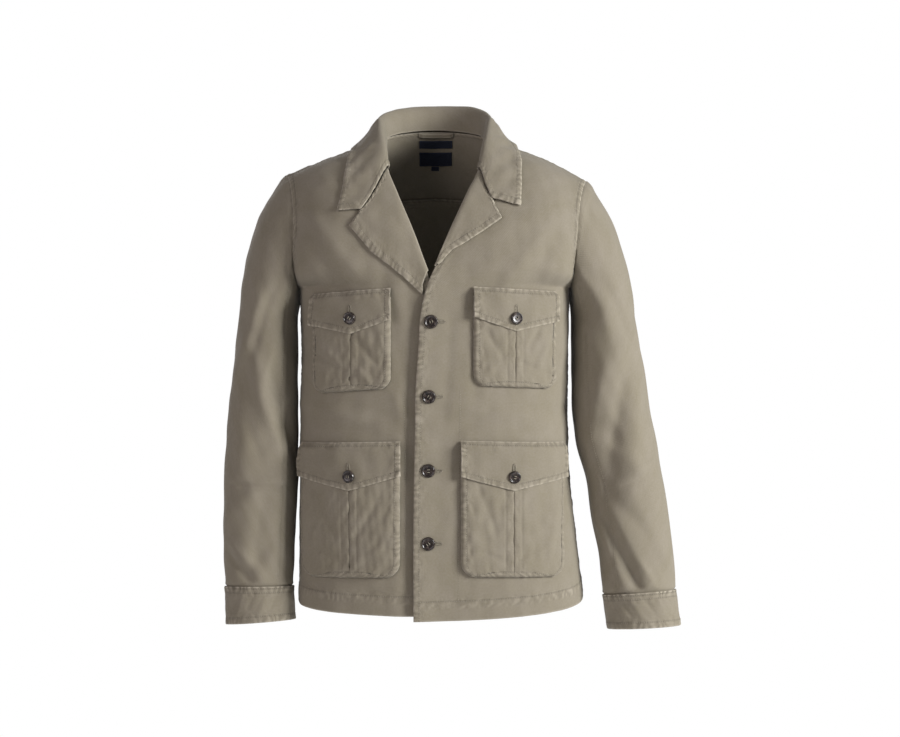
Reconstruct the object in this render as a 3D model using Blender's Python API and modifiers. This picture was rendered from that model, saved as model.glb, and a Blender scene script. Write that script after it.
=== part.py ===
"""Safari jacket in washed cotton drill, hollow and filled out as it is worn.

Frame: +Z up, the front towards -Y, the wearer's left towards +X.
The origin lies between the shoulder tops, where the wearer's shoulders carry the jacket.
Every size below is in millimetres; the meshes are made in metres.
A place on a front or on the back is given by two numbers, across and up.
"""

import math

import bpy
import numpy as np

JACKET = "Safari jacket"
MM = 0.001

LEFT = 1
RIGHT = -1
FRONT = -1
BACK = 1
HALF_WIDTH = 230.0
TOP_RISE = 220.0

CLOTH = 1.6
COLLAR_CLOTH = 2.2
FLAP_CLOTH = 2.0
POCKET_CLOTH = 1.5
LABEL_CLOTH = 0.8
SEAM = 0.35
LAID = 0.9

ARMPIT_Z = -208.0
HEM_SIDE_Z = {LEFT: -665.0, RIGHT: -672.0}
HEM_DROP = {(LEFT, FRONT): 24.0, (RIGHT, FRONT): 11.0, (LEFT, BACK): 12.0, (RIGHT, BACK): 5.0}
RING_POWER = 2.4
UNDERLAP = 2.8
UNDERLAP_FROM = 31.0
UNDERLAP_TO = 52.0

BACK_NECK = (0.0, 74.0, 38.0)
NECK = {LEFT: (79.0, 6.0, 17.0), RIGHT: (75.0, 6.0, 17.0)}
SHOULDER = {LEFT: (229.0, 4.0, -46.0), RIGHT: (221.0, 4.0, -39.0)}
SHOULDER_BOW = {LEFT: 6.0, RIGHT: 3.5}
SHOULDER_CROWN = {FRONT: 17.0, BACK: 12.0}
NECK_SHARE = 0.4
YOKE_UP = 1.565
YOKE_RISE = 0.135
ARMHOLE_STEPS = 10
SIDE_GAP = 0.0016
TOP_GAP = 0.0024
YOKE_GAP = 0.0008
CROWN_PEAK = 0.75 ** 3 * 0.25
CROWN_SLANT = 0.7


def table(names, *rows):
    """Columns by name, from rows written one to a line."""
    return {name: np.array(column, float) for name, column in zip(names.split(), zip(*rows))}


BODY = table(
    "z right left front back",
    (-700, 203, 226, 116, 121),
    (-620, 201, 218, 115, 119),
    (-560, 200, 211, 114, 118),
    (-500, 199, 203, 112, 116),
    (-400, 198, 199, 112, 115),
    (-300, 198, 200, 118, 120),
    (-208, 200, 203, 122, 124),
)

EDGE = {
    LEFT: table(
        "z out y",
        (-700, -28, -116),
        (-541, -28, -114),
        (-418, -26, -112),
        (-358, -25, -114),
        (-300, -21, -118),
        (-246, -17, -121),
        (-208, -8, -122),
        (-170, 9, -120),
        (-140, 22, -115),
        (-107, 37, -106),
        (-70, 54, -89),
        (-40, 68, -68),
        (-8, 75, -36),
        (17, 79, 6),
    ),
    RIGHT: table(
        "z out y",
        (-700, -22, -116),
        (-358, -22, -114),
        (-300, -19, -118),
        (-246, -12, -121),
        (-208, 2, -122),
        (-167, 18, -119),
        (-137, 29, -114),
        (-108, 41, -106),
        (-72, 56, -90),
        (-38, 69, -67),
        (-8, 73, -36),
        (17, 75, 6),
    ),
}

ARMHOLE = {
    (LEFT, FRONT): table(
        "t out y z",
        (0.00, 203, 0, -208),
        (0.14, 203, -44, -200),
        (0.32, 205, -66, -172),
        (0.52, 210, -67, -130),
        (0.72, 215, -54, -88),
        (0.88, 223, -28, -58),
        (1.00, 229, 4, -46),
    ),
    (RIGHT, FRONT): table(
        "t out y z",
        (0.00, 200, 0, -208),
        (0.14, 201, -44, -200),
        (0.32, 204, -66, -172),
        (0.52, 205, -67, -128),
        (0.72, 208, -54, -82),
        (0.88, 214, -28, -52),
        (1.00, 221, 4, -39),
    ),
    (LEFT, BACK): table(
        "t out y z",
        (0.00, 203, 0, -208),
        (0.14, 201, 40, -202),
        (0.32, 199, 68, -174),
        (0.52, 202, 76, -130),
        (0.72, 208, 64, -86),
        (0.88, 219, 36, -57),
        (1.00, 229, 4, -46),
    ),
    (RIGHT, BACK): table(
        "t out y z",
        (0.00, 200, 0, -208),
        (0.14, 198, 40, -202),
        (0.32, 196, 68, -174),
        (0.52, 198, 76, -128),
        (0.72, 202, 64, -80),
        (0.88, 211, 36, -50),
        (1.00, 221, 4, -39),
    ),
}

CENTRE_BACK = table(
    "t y z",
    (0.00, 124, -208),
    (0.25, 125, -146),
    (0.50, 117, -85),
    (0.75, 99, -23),
    (1.00, 74, 38),
)

SLEEVE = {
    LEFT: table(
        "z centre width depth y tilt pitch",
        (-720, 313.0, 53.0, 43, -31, 5, 4),
        (-660, 304.5, 53.8, 44, -26, 8, 4),
        (-610, 301.5, 54.8, 47, -21, 6, 2),
        (-560, 293.5, 57.2, 52, -16, 2, 1),
        (-500, 285.5, 57.2, 58, -10, 0, 0),
        (-430, 271.0, 60.5, 63, -5, 0, 0),
        (-375, 263.5, 57.0, 67, -2, 0, 0),
        (-320, 259.0, 53.0, 70, 0, 0, 0),
        (-250, 253.0, 47.5, 72, 1, 0, 0),
    ),
    RIGHT: table(
        "z centre width depth y tilt pitch",
        (-712, 255.5, 50.8, 43, -31, -9, 4),
        (-650, 258.7, 50.3, 44, -26, -1, 4),
        (-600, 259.5, 52.3, 48, -21, 0, 2),
        (-520, 258.4, 54.7, 55, -13, 0, 0),
        (-450, 257.0, 54.3, 61, -6, 0, 0),
        (-375, 254.5, 50.8, 67, -2, 0, 0),
        (-320, 251.5, 47.6, 70, 0, 0, 0),
        (-250, 247.8, 43.8, 72, 1, 0, 0),
    ),
}
SLEEVE_FOLDS = {
    LEFT: table(
        "z turn slope width span depth",
        (-300, 70, -40, 22, 0.8, 2.5),
        (-425, 105, 45, 20, 0.7, -3.5),
        (-470, 70, 50, 20, 0.8, 3.0),
        (-545, 95, 70, 20, 0.7, -3.5),
        (-590, 60, 60, 20, 0.7, 2.5),
        (-450, 250, -45, 22, 0.8, -3.5),
        (-500, 290, -50, 22, 0.8, 2.5),
    ),
    RIGHT: table(
        "z turn slope width span depth",
        (-310, 75, -45, 22, 0.8, 2.5),
        (-430, 110, 40, 20, 0.7, -3.0),
        (-492, 80, 25, 18, 0.8, -3.5),
        (-530, 60, 40, 20, 0.8, 2.5),
        (-600, 100, 60, 20, 0.7, -3.0),
        (-455, 255, -45, 22, 0.8, -3.5),
        (-505, 290, -50, 22, 0.8, 2.5),
    ),
}
SLEEVE_HEAD_OUT = {LEFT: 0.58, RIGHT: 0.75}
SLEEVE_HEAD_Z = -250.0
CUFF_SEAM_Z = {LEFT: -658.0, RIGHT: -649.0}
CUFF_LIFT = 0.9
CUFF_HEM_Z = {LEFT: -710.0, RIGHT: -702.0}

POCKETS = {
    "chest_left": dict(side=LEFT, inner=59, outer=174, top=-212, depth=139, slope=5, corner=16,
                       flap_side=41, flap_point=59, button=41),
    "chest_right": dict(side=RIGHT, inner=62, outer=172, top=-214, depth=141, slope=7, corner=16,
                        flap_side=43, flap_point=60, button=38),
    "hip_left": dict(side=LEFT, inner=41, outer=187, top=-432, depth=192, slope=4, corner=20,
                     flap_side=50, flap_point=69, button=50),
    "hip_right": dict(side=RIGHT, inner=49, outer=189, top=-433, depth=192, slope=4, corner=20,
                      flap_side=48, flap_point=68, button=48),
}
BAG_DROP = 12.0
BAG_LIFT = 4.6
PLEAT_HALF = 11.0
PLEAT_FOLD = 4.5
PLEAT_DEPTH = 2.2
FLAP_LIFT = BAG_LIFT + POCKET_CLOTH + LAID
FLAP_HINGE = 9.0
FLAP_WIDER = 1.5

COLLAR_FRONT = {
    LEFT: table(
        "q seam_z out z rise_out rise_y rise_z clear",
        (0.00, -39, 125, -94, -1, -3, 3, 0.3),
        (0.30, -24, 126, -74, 0, -5, 10, 0.3),
        (0.60, -6, 127, -46, 2, -4, 18, 0.4),
        (0.80, 6, 127, -22, 3, -1, 23, 1.8),
        (1.00, 17, 121, 0, 4, 4, 28, 4.0),
    ),
    RIGHT: table(
        "q seam_z out z rise_out rise_y rise_z clear",
        (0.00, -37, 137, -102, -1, -3, 3, 0.3),
        (0.30, -24, 132, -78, 0, -5, 10, 0.3),
        (0.60, -6, 128, -48, 2, -4, 16, 0.4),
        (0.80, 6, 125, -24, 4, -1, 22, 1.4),
        (1.00, 17, 118, 2, 6, 4, 27, 3.0),
    ),
}
COLLAR_BACK = {
    LEFT: table(
        "q seam across up rise_out rise_y rise_z clear",
        (0.00, 0.40, 0.560, 2.000, 4, 4, 28, 4.0),
        (0.25, 0.30, 0.430, 1.955, 2, 7, 34, 1.8),
        (0.50, 0.20, 0.290, 1.935, 1, 9, 38, 0.4),
        (0.75, 0.10, 0.145, 1.930, 0, 9, 37, 0.3),
        (1.00, 0.00, 0.000, 1.930, 0, 9, 36, 0.3),
    ),
    RIGHT: table(
        "q seam across up rise_out rise_y rise_z clear",
        (0.00, 0.40, 0.560, 2.000, 6, 4, 27, 3.0),
        (0.25, 0.30, 0.430, 1.955, 4, 7, 32, 1.4),
        (0.50, 0.20, 0.290, 1.935, 2, 9, 35, 0.4),
        (0.75, 0.10, 0.145, 1.930, 1, 9, 36, 0.3),
        (1.00, 0.00, 0.000, 1.930, 0, 9, 36, 0.3),
    ),
}
COLLAR_SECTION = table(
    "share off rise lift",
    (0.00, -3.2, 0.00, 0.0),
    (0.00, -3.6, 0.45, 0.0),
    (0.00, -3.2, 0.88, 0.8),
    (0.00, 0.0, 1.06, 2.6),
    (0.06, 2.8, 0.97, 3.6),
    (0.28, 1.5, 0.62, 3.0),
    (0.52, 0.0, 0.33, 2.2),
    (0.78, 0.0, 0.10, 1.6),
    (1.00, 0.0, 0.00, 1.2),
)
COLLAR_NOTCH = {LEFT: (84, -84), RIGHT: (104, -101)}
NOTCH_SHARE = 0.52
NOTCH_FADE = 5.0

LAPEL = {
    LEFT: table(
        "roll_z out z",
        (-181, 10, -175),
        (-153, 28, -158),
        (-125, 48, -146),
        (-97, 70, -132.5),
        (-68, 97.6, -113),
        (-41, 83, -86),
    ),
    RIGHT: table(
        "roll_z out z",
        (-190, 14.5, -222),
        (-170, 36, -203),
        (-143, 60, -182),
        (-108, 88, -161),
        (-72, 119, -124),
        (-39, 103, -103),
    ),
}
LAPEL_SECTION = table(
    "share off lift",
    (0.00, -1.6, 0.6),
    (0.00, 0.0, 2.4),
    (0.08, 2.0, 3.4),
    (0.36, 0.0, 2.8),
    (0.68, 0.0, 1.8),
    (1.00, 0.0, 1.0),
)

BUTTON_RADIUS = {"front": 10.0, "pocket": 9.2}
FRONT_BUTTONS = table(
    "out z",
    (-3, -261),
    (-6, -368),
    (-7, -474),
    (-7, -578),
)
BUTTON_PROFILE = table(
    "radius height",
    (0.00, 0.20),
    (0.50, 0.20),
    (0.66, 0.30),
    (0.86, 0.33),
    (1.00, 0.22),
    (1.00, 0.12),
    (0.80, 0.00),
    (0.00, 0.00),
)

LOOP_HALF = 27.5
LOOP_X = 2.5
LOOP_Z = (30.0, 36.0)
LOOP_STANDOFF = 2.4
LOOP_SLANT = 0.22
LOOP_CLOTH = 1.2
LABELS = {
    "label_upper": dict(x=(-24, 28), z=(14, 25)),
    "label_lower": dict(x=(-24, 27), z=(-12, 8)),
    "size_tab": dict(x=(-5, 7), z=(-19, -13)),
}


def follow(rows, key, value, at):
    """Smooth curve through one column against another, a cubic between each two rows."""
    knots = rows[key]
    values = rows[value]
    slopes = np.gradient(values, knots)
    at = np.asarray(at, float)
    i = np.clip(np.searchsorted(knots, at, side="right") - 1, 0, len(knots) - 2)
    span = knots[i + 1] - knots[i]
    u = np.clip((at - knots[i]) / span, 0.0, 1.0)
    start = (1 + 2 * u) * (1 - u) ** 2 * values[i] + u * (1 - u) ** 2 * span * slopes[i]
    end = u * u * (3 - 2 * u) * values[i + 1] + u * u * (u - 1) * span * slopes[i + 1]
    return start + end


def triple(x, y, z):
    """Points from three arrays of one shape, or numbers."""
    return np.stack(np.broadcast_arrays(x, y, z), axis=-1).astype(float)


def between(low, high, share):
    """Straight from one point to another, or along arrays of points."""
    share = np.asarray(share)[..., None]
    return np.asarray(low) * (1 - share) + np.asarray(high) * share


def step(value):
    """Rises smoothly from 0 to 1 as the value does."""
    u = np.clip(value, 0.0, 1.0)
    return u * u * (3 - 2 * u)


def mirrored(side, place):
    """A named place, written for the wearer's left, on its own side."""
    return np.array((side * place[0], place[1], place[2]))


def body_ring(side, face, turn, z):
    """Level section of the body: a full-cornered oval. Turn is 0 at the side seam, pi/2 at the centre."""
    width = np.where(side > 0, follow(BODY, "z", "left", z), follow(BODY, "z", "right", z))
    depth = follow(BODY, "z", "front" if face == FRONT else "back", z)
    cosine = np.cos(turn)
    sine = np.sin(turn)
    size = (np.abs(cosine) ** RING_POWER + np.abs(sine) ** RING_POWER) ** (-1 / RING_POWER)
    return triple(side * width * size * cosine, face * depth * size * sine, z)


def hem_height(side, face, across):
    """The hem dips from the side seams to the centre."""
    return HEM_SIDE_Z[side] - HEM_DROP[(side, face)] * np.sin(math.pi / 2 * (1 - across))


def armhole(side, face, t):
    """Armhole seam from the underarm (0) to the shoulder point (1)."""
    rows = ARMHOLE[(side, face)]
    return triple(side * follow(rows, "t", "out", t), follow(rows, "t", "y", t), follow(rows, "t", "z", t))


def patch(across, t, corners, bottom, inner, outer, top):
    """Skin between four edges. Each edge adds its departure from its own chord, fading across."""
    straight = between(between(corners[0], corners[1], across), between(corners[2], corners[3], across), t)
    fade = np.cos(math.pi / 2 * np.clip(t, 0, 1))[..., None] ** 2
    reach = np.clip(across, 0, None)[..., None] ** 1.5
    near_top = np.clip(t, 0, None)[..., None] ** 5
    return straight + bottom * fade + top * near_top + inner * (1 - across)[..., None] + outer * reach


def crown(face, across, t):
    """The shoulder rounds over: a swell that is fullest three quarters of the way up."""
    swell = SHOULDER_CROWN[face] * 4 * across * (1 - across) * t ** 3 * (1 - t) / CROWN_PEAK
    return triple(0 * swell, face * CROWN_SLANT * swell, CROWN_SLANT * swell)


def front_point(side, across, up):
    """Outer face of a front.

    Across runs from the front edge or roll line (0) to the side seam or armhole (1).
    Up runs from the hem (0) to the armpit (1) to the shoulder seam (2).
    """
    across, up = np.broadcast_arrays(np.asarray(across, float), np.asarray(up, float))
    low = np.clip(up, 0.0, 1.0)
    t = np.clip(up - 1.0, 0.0, None)
    hem = hem_height(side, FRONT, np.clip(across, 0, 1))
    z = hem + (ARMPIT_Z - hem) * low
    name = "left" if side == LEFT else "right"
    edge_turn = np.arctan2(follow(BODY, "z", name, z), follow(EDGE[side], "z", "out", z))
    lower = body_ring(side, FRONT, edge_turn * (1 - across), z)
    armpit_turn = math.atan2(follow(BODY, "z", name, ARMPIT_Z), follow(EDGE[side], "z", "out", ARMPIT_Z))
    inner_low = body_ring(side, FRONT, armpit_turn, ARMPIT_Z)
    outer_low = body_ring(side, FRONT, 0.0, ARMPIT_Z)
    neck = mirrored(side, NECK[side])
    shoulder = mirrored(side, SHOULDER[side])
    roll_z = ARMPIT_Z + (neck[2] - ARMPIT_Z) * t
    roll = triple(side * follow(EDGE[side], "z", "out", roll_z), follow(EDGE[side], "z", "y", roll_z), roll_z)
    roll_bow = roll - between(inner_low, neck, t)
    arm_bow = armhole(side, FRONT, t) - between(outer_low, shoulder, t)
    low_bow = lower - between(inner_low, outer_low, across)
    top_bow = triple(0 * across, 0 * across, SHOULDER_BOW[side] * np.sin(math.pi * np.clip(across, 0, 1)))
    corners = (inner_low, outer_low, neck, shoulder)
    upper = patch(across, t, corners, low_bow, roll_bow, arm_bow, top_bow) + crown(FRONT, across, t)
    point = np.where((up > 1.0)[..., None], upper, lower)
    if side == RIGHT:
        under = (UNDERLAP_TO + point[..., 0]) / (UNDERLAP_TO - UNDERLAP_FROM)
        point = point + triple(0 * under, UNDERLAP * step(under), 0 * under)
    return point


def back_top(side, across):
    """Top edge of the back: a quarter oval round the neck, then the shoulder seam."""
    neck = mirrored(side, NECK[side])
    shoulder = mirrored(side, SHOULDER[side])
    quarter = math.pi / 2 * np.clip(across / NECK_SHARE, 0, 1)
    rise = np.cos(quarter)
    round_neck = triple(
        neck[0] * np.sin(quarter),
        neck[1] + (BACK_NECK[1] - neck[1]) * rise,
        neck[2] + (BACK_NECK[2] - neck[2]) * rise,
    )
    share = np.clip((across - NECK_SHARE) / (1 - NECK_SHARE), 0, None)
    bow = triple(0 * share, 0 * share, SHOULDER_BOW[side] * np.sin(math.pi * np.clip(share, 0, 1)))
    seam = between(neck, shoulder, share) + bow
    return np.where((across < NECK_SHARE)[..., None], round_neck, seam)


def back_half(side, across, up):
    """Outer face of one half of the back, from its centre (0) to the side seam or armhole (1)."""
    low = np.clip(up, 0.0, 1.0)
    t = np.clip(up - 1.0, 0.0, None)
    hem = hem_height(side, BACK, across)
    z = hem + (ARMPIT_Z - hem) * low
    lower = body_ring(side, BACK, math.pi / 2 * (1 - across), z)
    inner_low = body_ring(side, BACK, math.pi / 2, ARMPIT_Z)
    outer_low = body_ring(side, BACK, 0.0, ARMPIT_Z)
    shoulder = mirrored(side, SHOULDER[side])
    corners = (inner_low, outer_low, np.array(BACK_NECK), shoulder)
    centre = triple(0 * t, follow(CENTRE_BACK, "t", "y", t), follow(CENTRE_BACK, "t", "z", t))
    inner_bow = centre - between(inner_low, BACK_NECK, t)
    arm_bow = armhole(side, BACK, t) - between(outer_low, shoulder, t)
    low_bow = lower - between(inner_low, outer_low, across)
    top_bow = back_top(side, across) - between(BACK_NECK, shoulder, across)
    upper = patch(across, t, corners, low_bow, inner_bow, arm_bow, top_bow) + crown(BACK, across, t)
    return np.where((up > 1.0)[..., None], upper, lower)


def back_point(across, up):
    """Outer face of the whole back, across from the wearer's right (-1) to the left (1)."""
    across, up = np.broadcast_arrays(np.asarray(across, float), np.asarray(up, float))
    right = back_half(RIGHT, np.abs(across), up)
    left = back_half(LEFT, np.abs(across), up)
    return np.where((across < 0)[..., None], right, left)


def unit(vectors):
    """The same directions, each one long."""
    return vectors / np.linalg.norm(vectors, axis=-1, keepdims=True)


def front_normal(side, across, up):
    """Direction out of a front's outer face."""
    small = 0.004
    sideways = front_point(side, across + small, up) - front_point(side, across - small, up)
    upwards = front_point(side, across, up + small) - front_point(side, across, up - small)
    return side * unit(np.cross(sideways, upwards))


def back_normal(across, up):
    """Direction out of the back's outer face."""
    small = 0.004
    sideways = back_point(across + small, up) - back_point(across - small, up)
    upwards = back_point(across, up + small) - back_point(across, up - small)
    return -unit(np.cross(sideways, upwards))


def find(point_at, x, z, across):
    """Across and up of the place with a given x and z, by Newton's method from a first guess."""
    x, z, across = np.broadcast_arrays(np.asarray(x, float), np.asarray(z, float), across)
    hem = HEM_SIDE_Z[RIGHT]
    up = np.clip((z - hem) / (ARMPIT_Z - hem), 0, 1) + np.clip((z - ARMPIT_Z) / TOP_RISE, 0, 1)
    small = 0.001
    most = 0.1
    for _ in range(30):
        here = point_at(across, up)
        sideways = (point_at(across + small, up) - here) / small
        upwards = (point_at(across, up + small) - here) / small
        miss_x = x - here[..., 0]
        miss_z = z - here[..., 2]
        area = sideways[..., 0] * upwards[..., 2] - sideways[..., 2] * upwards[..., 0]
        across = across + np.clip((miss_x * upwards[..., 2] - miss_z * upwards[..., 0]) / area, -most, most)
        up = up + np.clip((miss_z * sideways[..., 0] - miss_x * sideways[..., 2]) / area, -most, most)
    return across, up


def find_on_front(side, out, z):
    """Across and up on a front, from the distance out from the centre line and the height."""
    out = np.asarray(out, float)
    return find(lambda across, up: front_point(side, across, up), side * out, z, np.clip(out / HALF_WIDTH, 0, 0.9))


def on_front(side, out, z, lift):
    """Point over a front's outer face, at a distance out from the centre line and a height."""
    across, up = find_on_front(side, out, z)
    return front_point(side, across, up) + front_normal(side, across, up) * np.asarray(lift)[..., None]


for old in list(bpy.data.objects):
    bpy.data.objects.remove(old, do_unlink=True)
jacket = bpy.data.collections.new(JACKET)
bpy.context.scene.collection.children.link(jacket)


def material(name, colour, roughness):
    """Plain finish of one piece."""
    finish = bpy.data.materials.new(name + "_finish")
    finish.use_nodes = True
    shader = finish.node_tree.nodes["Principled BSDF"]
    shader.inputs["Base Color"].default_value = (*colour, 1.0)
    shader.inputs["Roughness"].default_value = roughness
    shader.inputs["Metallic"].default_value = 0.0
    return finish


DRILL = (0.205, 0.178, 0.130)
HORN = (0.050, 0.036, 0.028)
NAVY = (0.010, 0.012, 0.022)
ROUGH = {DRILL: 0.9, HORN: 0.35, NAVY: 0.7}


def add_piece(name, mesh, colour):
    """One named piece of the jacket, with its own material."""
    piece = bpy.data.objects.new(name, mesh)
    mesh.materials.append(material(name, colour, ROUGH[colour]))
    jacket.objects.link(piece)
    return piece


def wall(name, grid, thickness, inside, outward=False, tube=False, first=0, colour=DRILL):
    """Cloth: a grid of points made a surface that faces away from inside, then given its thickness.

    The columns from the first one named tell which way it faces.
    """
    seen = grid[:, first:]
    along = seen[1:, :-1] - seen[:-1, :-1]
    over = seen[:-1, 1:] - seen[:-1, :-1]
    if np.sum(np.cross(along, over) * (seen[:-1, :-1] - inside)) < 0:
        grid = grid[::-1]
    rows, columns = grid.shape[:2]
    number = np.arange(rows * columns).reshape(rows, columns)
    if tube:
        number = np.concatenate((number, number[:, :1]), axis=1)
    quads = np.stack((number[:-1, :-1], number[1:, :-1], number[1:, 1:], number[:-1, 1:]), axis=-1)
    mesh = bpy.data.meshes.new(name)
    mesh.from_pydata((grid.reshape(-1, 3) * MM).tolist(), [], quads.reshape(-1, 4).tolist())
    piece = add_piece(name, mesh, colour)
    weld = piece.modifiers.new("Weld", "WELD")
    weld.merge_threshold = 0.00002
    thick = piece.modifiers.new("Thickness", "SOLIDIFY")
    thick.thickness = thickness * MM
    thick.offset = 1.0 if outward else -1.0
    mesh.shade_smooth()


def evenly(start, stop, count):
    """Evenly spaced numbers, both ends among them."""
    return np.linspace(start, stop, count)


def add_fronts():
    """Two fronts, cut from hem to shoulder; the left laps over the right."""
    for side, name in ((LEFT, "front_left"), (RIGHT, "front_right")):
        across = evenly(0.0, 1.0 - SIDE_GAP, 14)[None, :]
        lower = evenly(0.0, 1.0, 12)
        upper = evenly(1.0, 2.0 - TOP_GAP, ARMHOLE_STEPS + 1)[1:]
        up = np.concatenate((lower, upper))[:, None]
        wall(name, front_point(side, across, up), CLOTH, (0, 0, -400))


def back_columns(neck_count, shoulder_count):
    """Columns across the back, with one at each end of the neck."""
    neck = evenly(0.0, NECK_SHARE, neck_count)
    half = np.concatenate((neck, evenly(NECK_SHARE, 1.0 - SIDE_GAP, shoulder_count)[1:]))
    return np.concatenate((-half[:0:-1], half))[None, :]


def add_back():
    """The back panel up to its yoke seam, and the yoke above it."""
    across = back_columns(5, 7)
    seam_up = YOKE_UP + YOKE_RISE * across ** 2
    low = evenly(0.0, 1.0, 9)[:, None] + 0 * across
    high = 1.0 + (seam_up - YOKE_GAP - 1.0) * evenly(0.0, 1.0, 8)[1:, None]
    wall("back_panel", back_point(across, np.concatenate((low, high))), CLOTH, (0, 0, -400))
    across = back_columns(7, 6)
    seam_up = YOKE_UP + YOKE_RISE * across ** 2
    yoke_up = seam_up + YOKE_GAP + (2.0 - TOP_GAP - YOKE_GAP - seam_up) * evenly(0.0, 1.0, 7)[:, None]
    wall("back_yoke", back_point(across, yoke_up), CLOTH, (0, -60, -120))


def sleeve_fold(side, turn, z):
    """Broad slanting folds at the elbow and forearm: each a soft hill or trough."""
    total = 0.0 * turn * z
    rows = SLEEVE_FOLDS[side]
    for name_z, degrees, slope, width, span, depth in zip(*rows.values()):
        apart = turn - math.radians(degrees)
        off_line = (z - name_z - slope * apart) / width
        total = total + depth * np.exp(-off_line ** 2 - (apart / span) ** 2)
    return total


def sleeve_ring(side, turn, z):
    """Section of a sleeve: an oval. Turn is 0 outside, pi/2 in front, pi against the body."""
    rows = SLEEVE[side]
    centre = follow(rows, "z", "centre", z)
    fold = sleeve_fold(side, turn, z)
    width = follow(rows, "z", "width", z) + fold
    depth = follow(rows, "z", "depth", z) + fold
    tilt = follow(rows, "z", "tilt", z) / 2 * np.cos(turn) + follow(rows, "z", "pitch", z) * np.sin(turn)
    return triple(
        side * (centre + width * np.cos(turn)),
        follow(rows, "z", "y", z) - depth * np.sin(turn),
        z + tilt,
    )


def sleeve_head(side, turn, share):
    """From the armhole seam (0) to the upper-arm section (1), each line one smooth cubic."""
    face = np.where(np.sin(turn) >= 0, FRONT, BACK)
    t = np.abs(np.mod(turn, 2 * math.pi) - math.pi) / math.pi
    front = armhole(side, FRONT, t)
    back = armhole(side, BACK, t)
    start = np.where((face == FRONT)[..., None], front, back) + np.array((side * 3 * SEAM, 0, 0))
    end = sleeve_ring(side, turn, SLEEVE_HEAD_Z)
    length = np.linalg.norm(end - start, axis=-1, keepdims=True)
    outward = side * (0.05 + SLEEVE_HEAD_OUT[side] * (0.5 + 0.5 * np.cos(turn)) ** 1.5)
    leave = unit(triple(outward, -0.10 * np.sin(turn), -0.8))
    arrive = unit(triple(side * 0.06 + 0 * turn, 0 * turn, -1.0))
    u = np.asarray(share)[..., None]
    first = start + leave * length / 3
    second = end - arrive * length / 3
    return start * (1 - u) ** 3 + 3 * first * u * (1 - u) ** 2 + 3 * second * u * u * (1 - u) + end * u ** 3


def add_sleeves():
    """Set-in sleeves, each with a separate cuff band at the wrist."""
    for side, name in ((LEFT, "left"), (RIGHT, "right")):
        turn = evenly(0.0, 2 * math.pi, 2 * ARMHOLE_STEPS + 1)[None, :-1]
        head = sleeve_head(side, turn, evenly(0.0, 1.0, 7)[:, None])
        z = evenly(SLEEVE_HEAD_Z, CUFF_SEAM_Z[side], 14)[1:, None]
        arm = sleeve_ring(side, turn, z + 0 * turn)
        grid = np.concatenate((head, arm))
        axis = grid.mean(axis=1, keepdims=True)
        wall("sleeve_" + name, grid, CLOTH, axis[:-1], tube=True)
        cuff_z = evenly(CUFF_SEAM_Z[side] - 2 * SEAM, CUFF_HEM_Z[side], 3)[:, None]
        band = sleeve_ring(side, turn, cuff_z + 0 * turn)
        middle = band.mean(axis=1, keepdims=True)
        band = band + unit(band - middle) * CUFF_LIFT
        wall("cuff_" + name, band, COLLAR_CLOTH, middle[:-1], tube=True)


def lapel_grid(side):
    """Turned-back lapel: from the roll line out to its edge, lying over the front."""
    rows = LAPEL[side]
    steps = len(rows["z"])
    knots = np.arange(steps)
    fine = np.concatenate((evenly(0, steps - 2, 8), evenly(steps - 2, steps - 1, 3)[1:]))
    numbered = dict(rows, n=knots)
    roll_z = follow(numbered, "n", "roll_z", fine)
    edge_out = np.interp(fine, knots, rows["out"])
    edge_z = np.interp(fine, knots, rows["z"])
    roll_out = follow(EDGE[side], "z", "out", roll_z)
    edge_across, edge_up = find_on_front(side, edge_out, edge_z)
    roll_across, roll_up = find_on_front(side, roll_out, roll_z)
    width = np.hypot(edge_out - roll_out, edge_z - roll_z)
    share = LAPEL_SECTION["share"][None, :]
    off = np.minimum(LAPEL_SECTION["off"][None, :], 0.3 * width[:, None]) / width[:, None]
    place = share + off
    across = roll_across[:, None] + (edge_across - roll_across)[:, None] * place
    up = roll_up[:, None] + (edge_up - roll_up)[:, None] * place
    tight = np.clip(width / 40.0, 0.4, 1.0)[:, None]
    lift = LAID + (LAPEL_SECTION["lift"][None, :] - LAID) * tight
    return front_point(side, across, up) + front_normal(side, across, up) * lift[..., None]


def add_lapels():
    """The facings that show as lapels."""
    for side, name in ((LEFT, "lapel_left"), (RIGHT, "lapel_right")):
        wall(name, lapel_grid(side), COLLAR_CLOTH, (0, 0, -200), outward=True)


def collar_front(side, share):
    """Stations of the collar over a front, from the gorge (0) to the shoulder seam (1)."""
    rows = COLLAR_FRONT[side]
    seam_z = follow(rows, "q", "seam_z", share)
    seam_across, seam_up = find_on_front(side, follow(EDGE[side], "z", "out", seam_z), seam_z)
    edge_across, edge_up = find_on_front(side, follow(rows, "q", "out", share), follow(rows, "q", "z", share))
    notch_across, notch_up = find_on_front(side, *COLLAR_NOTCH[side])
    k = COLLAR_SECTION["share"][None, :]
    seam = front_point(side, seam_across, seam_up)
    edge = front_point(side, edge_across, edge_up)
    width = np.linalg.norm(edge - seam, axis=-1)[:, None]
    place = k + COLLAR_SECTION["off"][None, :] / width
    bend = np.minimum(k / NOTCH_SHARE, (1 - k) / (1 - NOTCH_SHARE)) * (1 - share[:, None]) ** NOTCH_FADE
    across = seam_across[:, None] + (edge_across - seam_across)[:, None] * place
    up = seam_up[:, None] + (edge_up - seam_up)[:, None] * place
    middle_across = seam_across[0] + (edge_across[0] - seam_across[0]) * NOTCH_SHARE
    middle_up = seam_up[0] + (edge_up[0] - seam_up[0]) * NOTCH_SHARE
    across = across + bend * (notch_across - middle_across)
    up = np.minimum(up + bend * (notch_up - middle_up), 2.0)
    return collar_wall(side, rows, share, front_point(side, across, up), front_normal(side, across, up))


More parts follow.
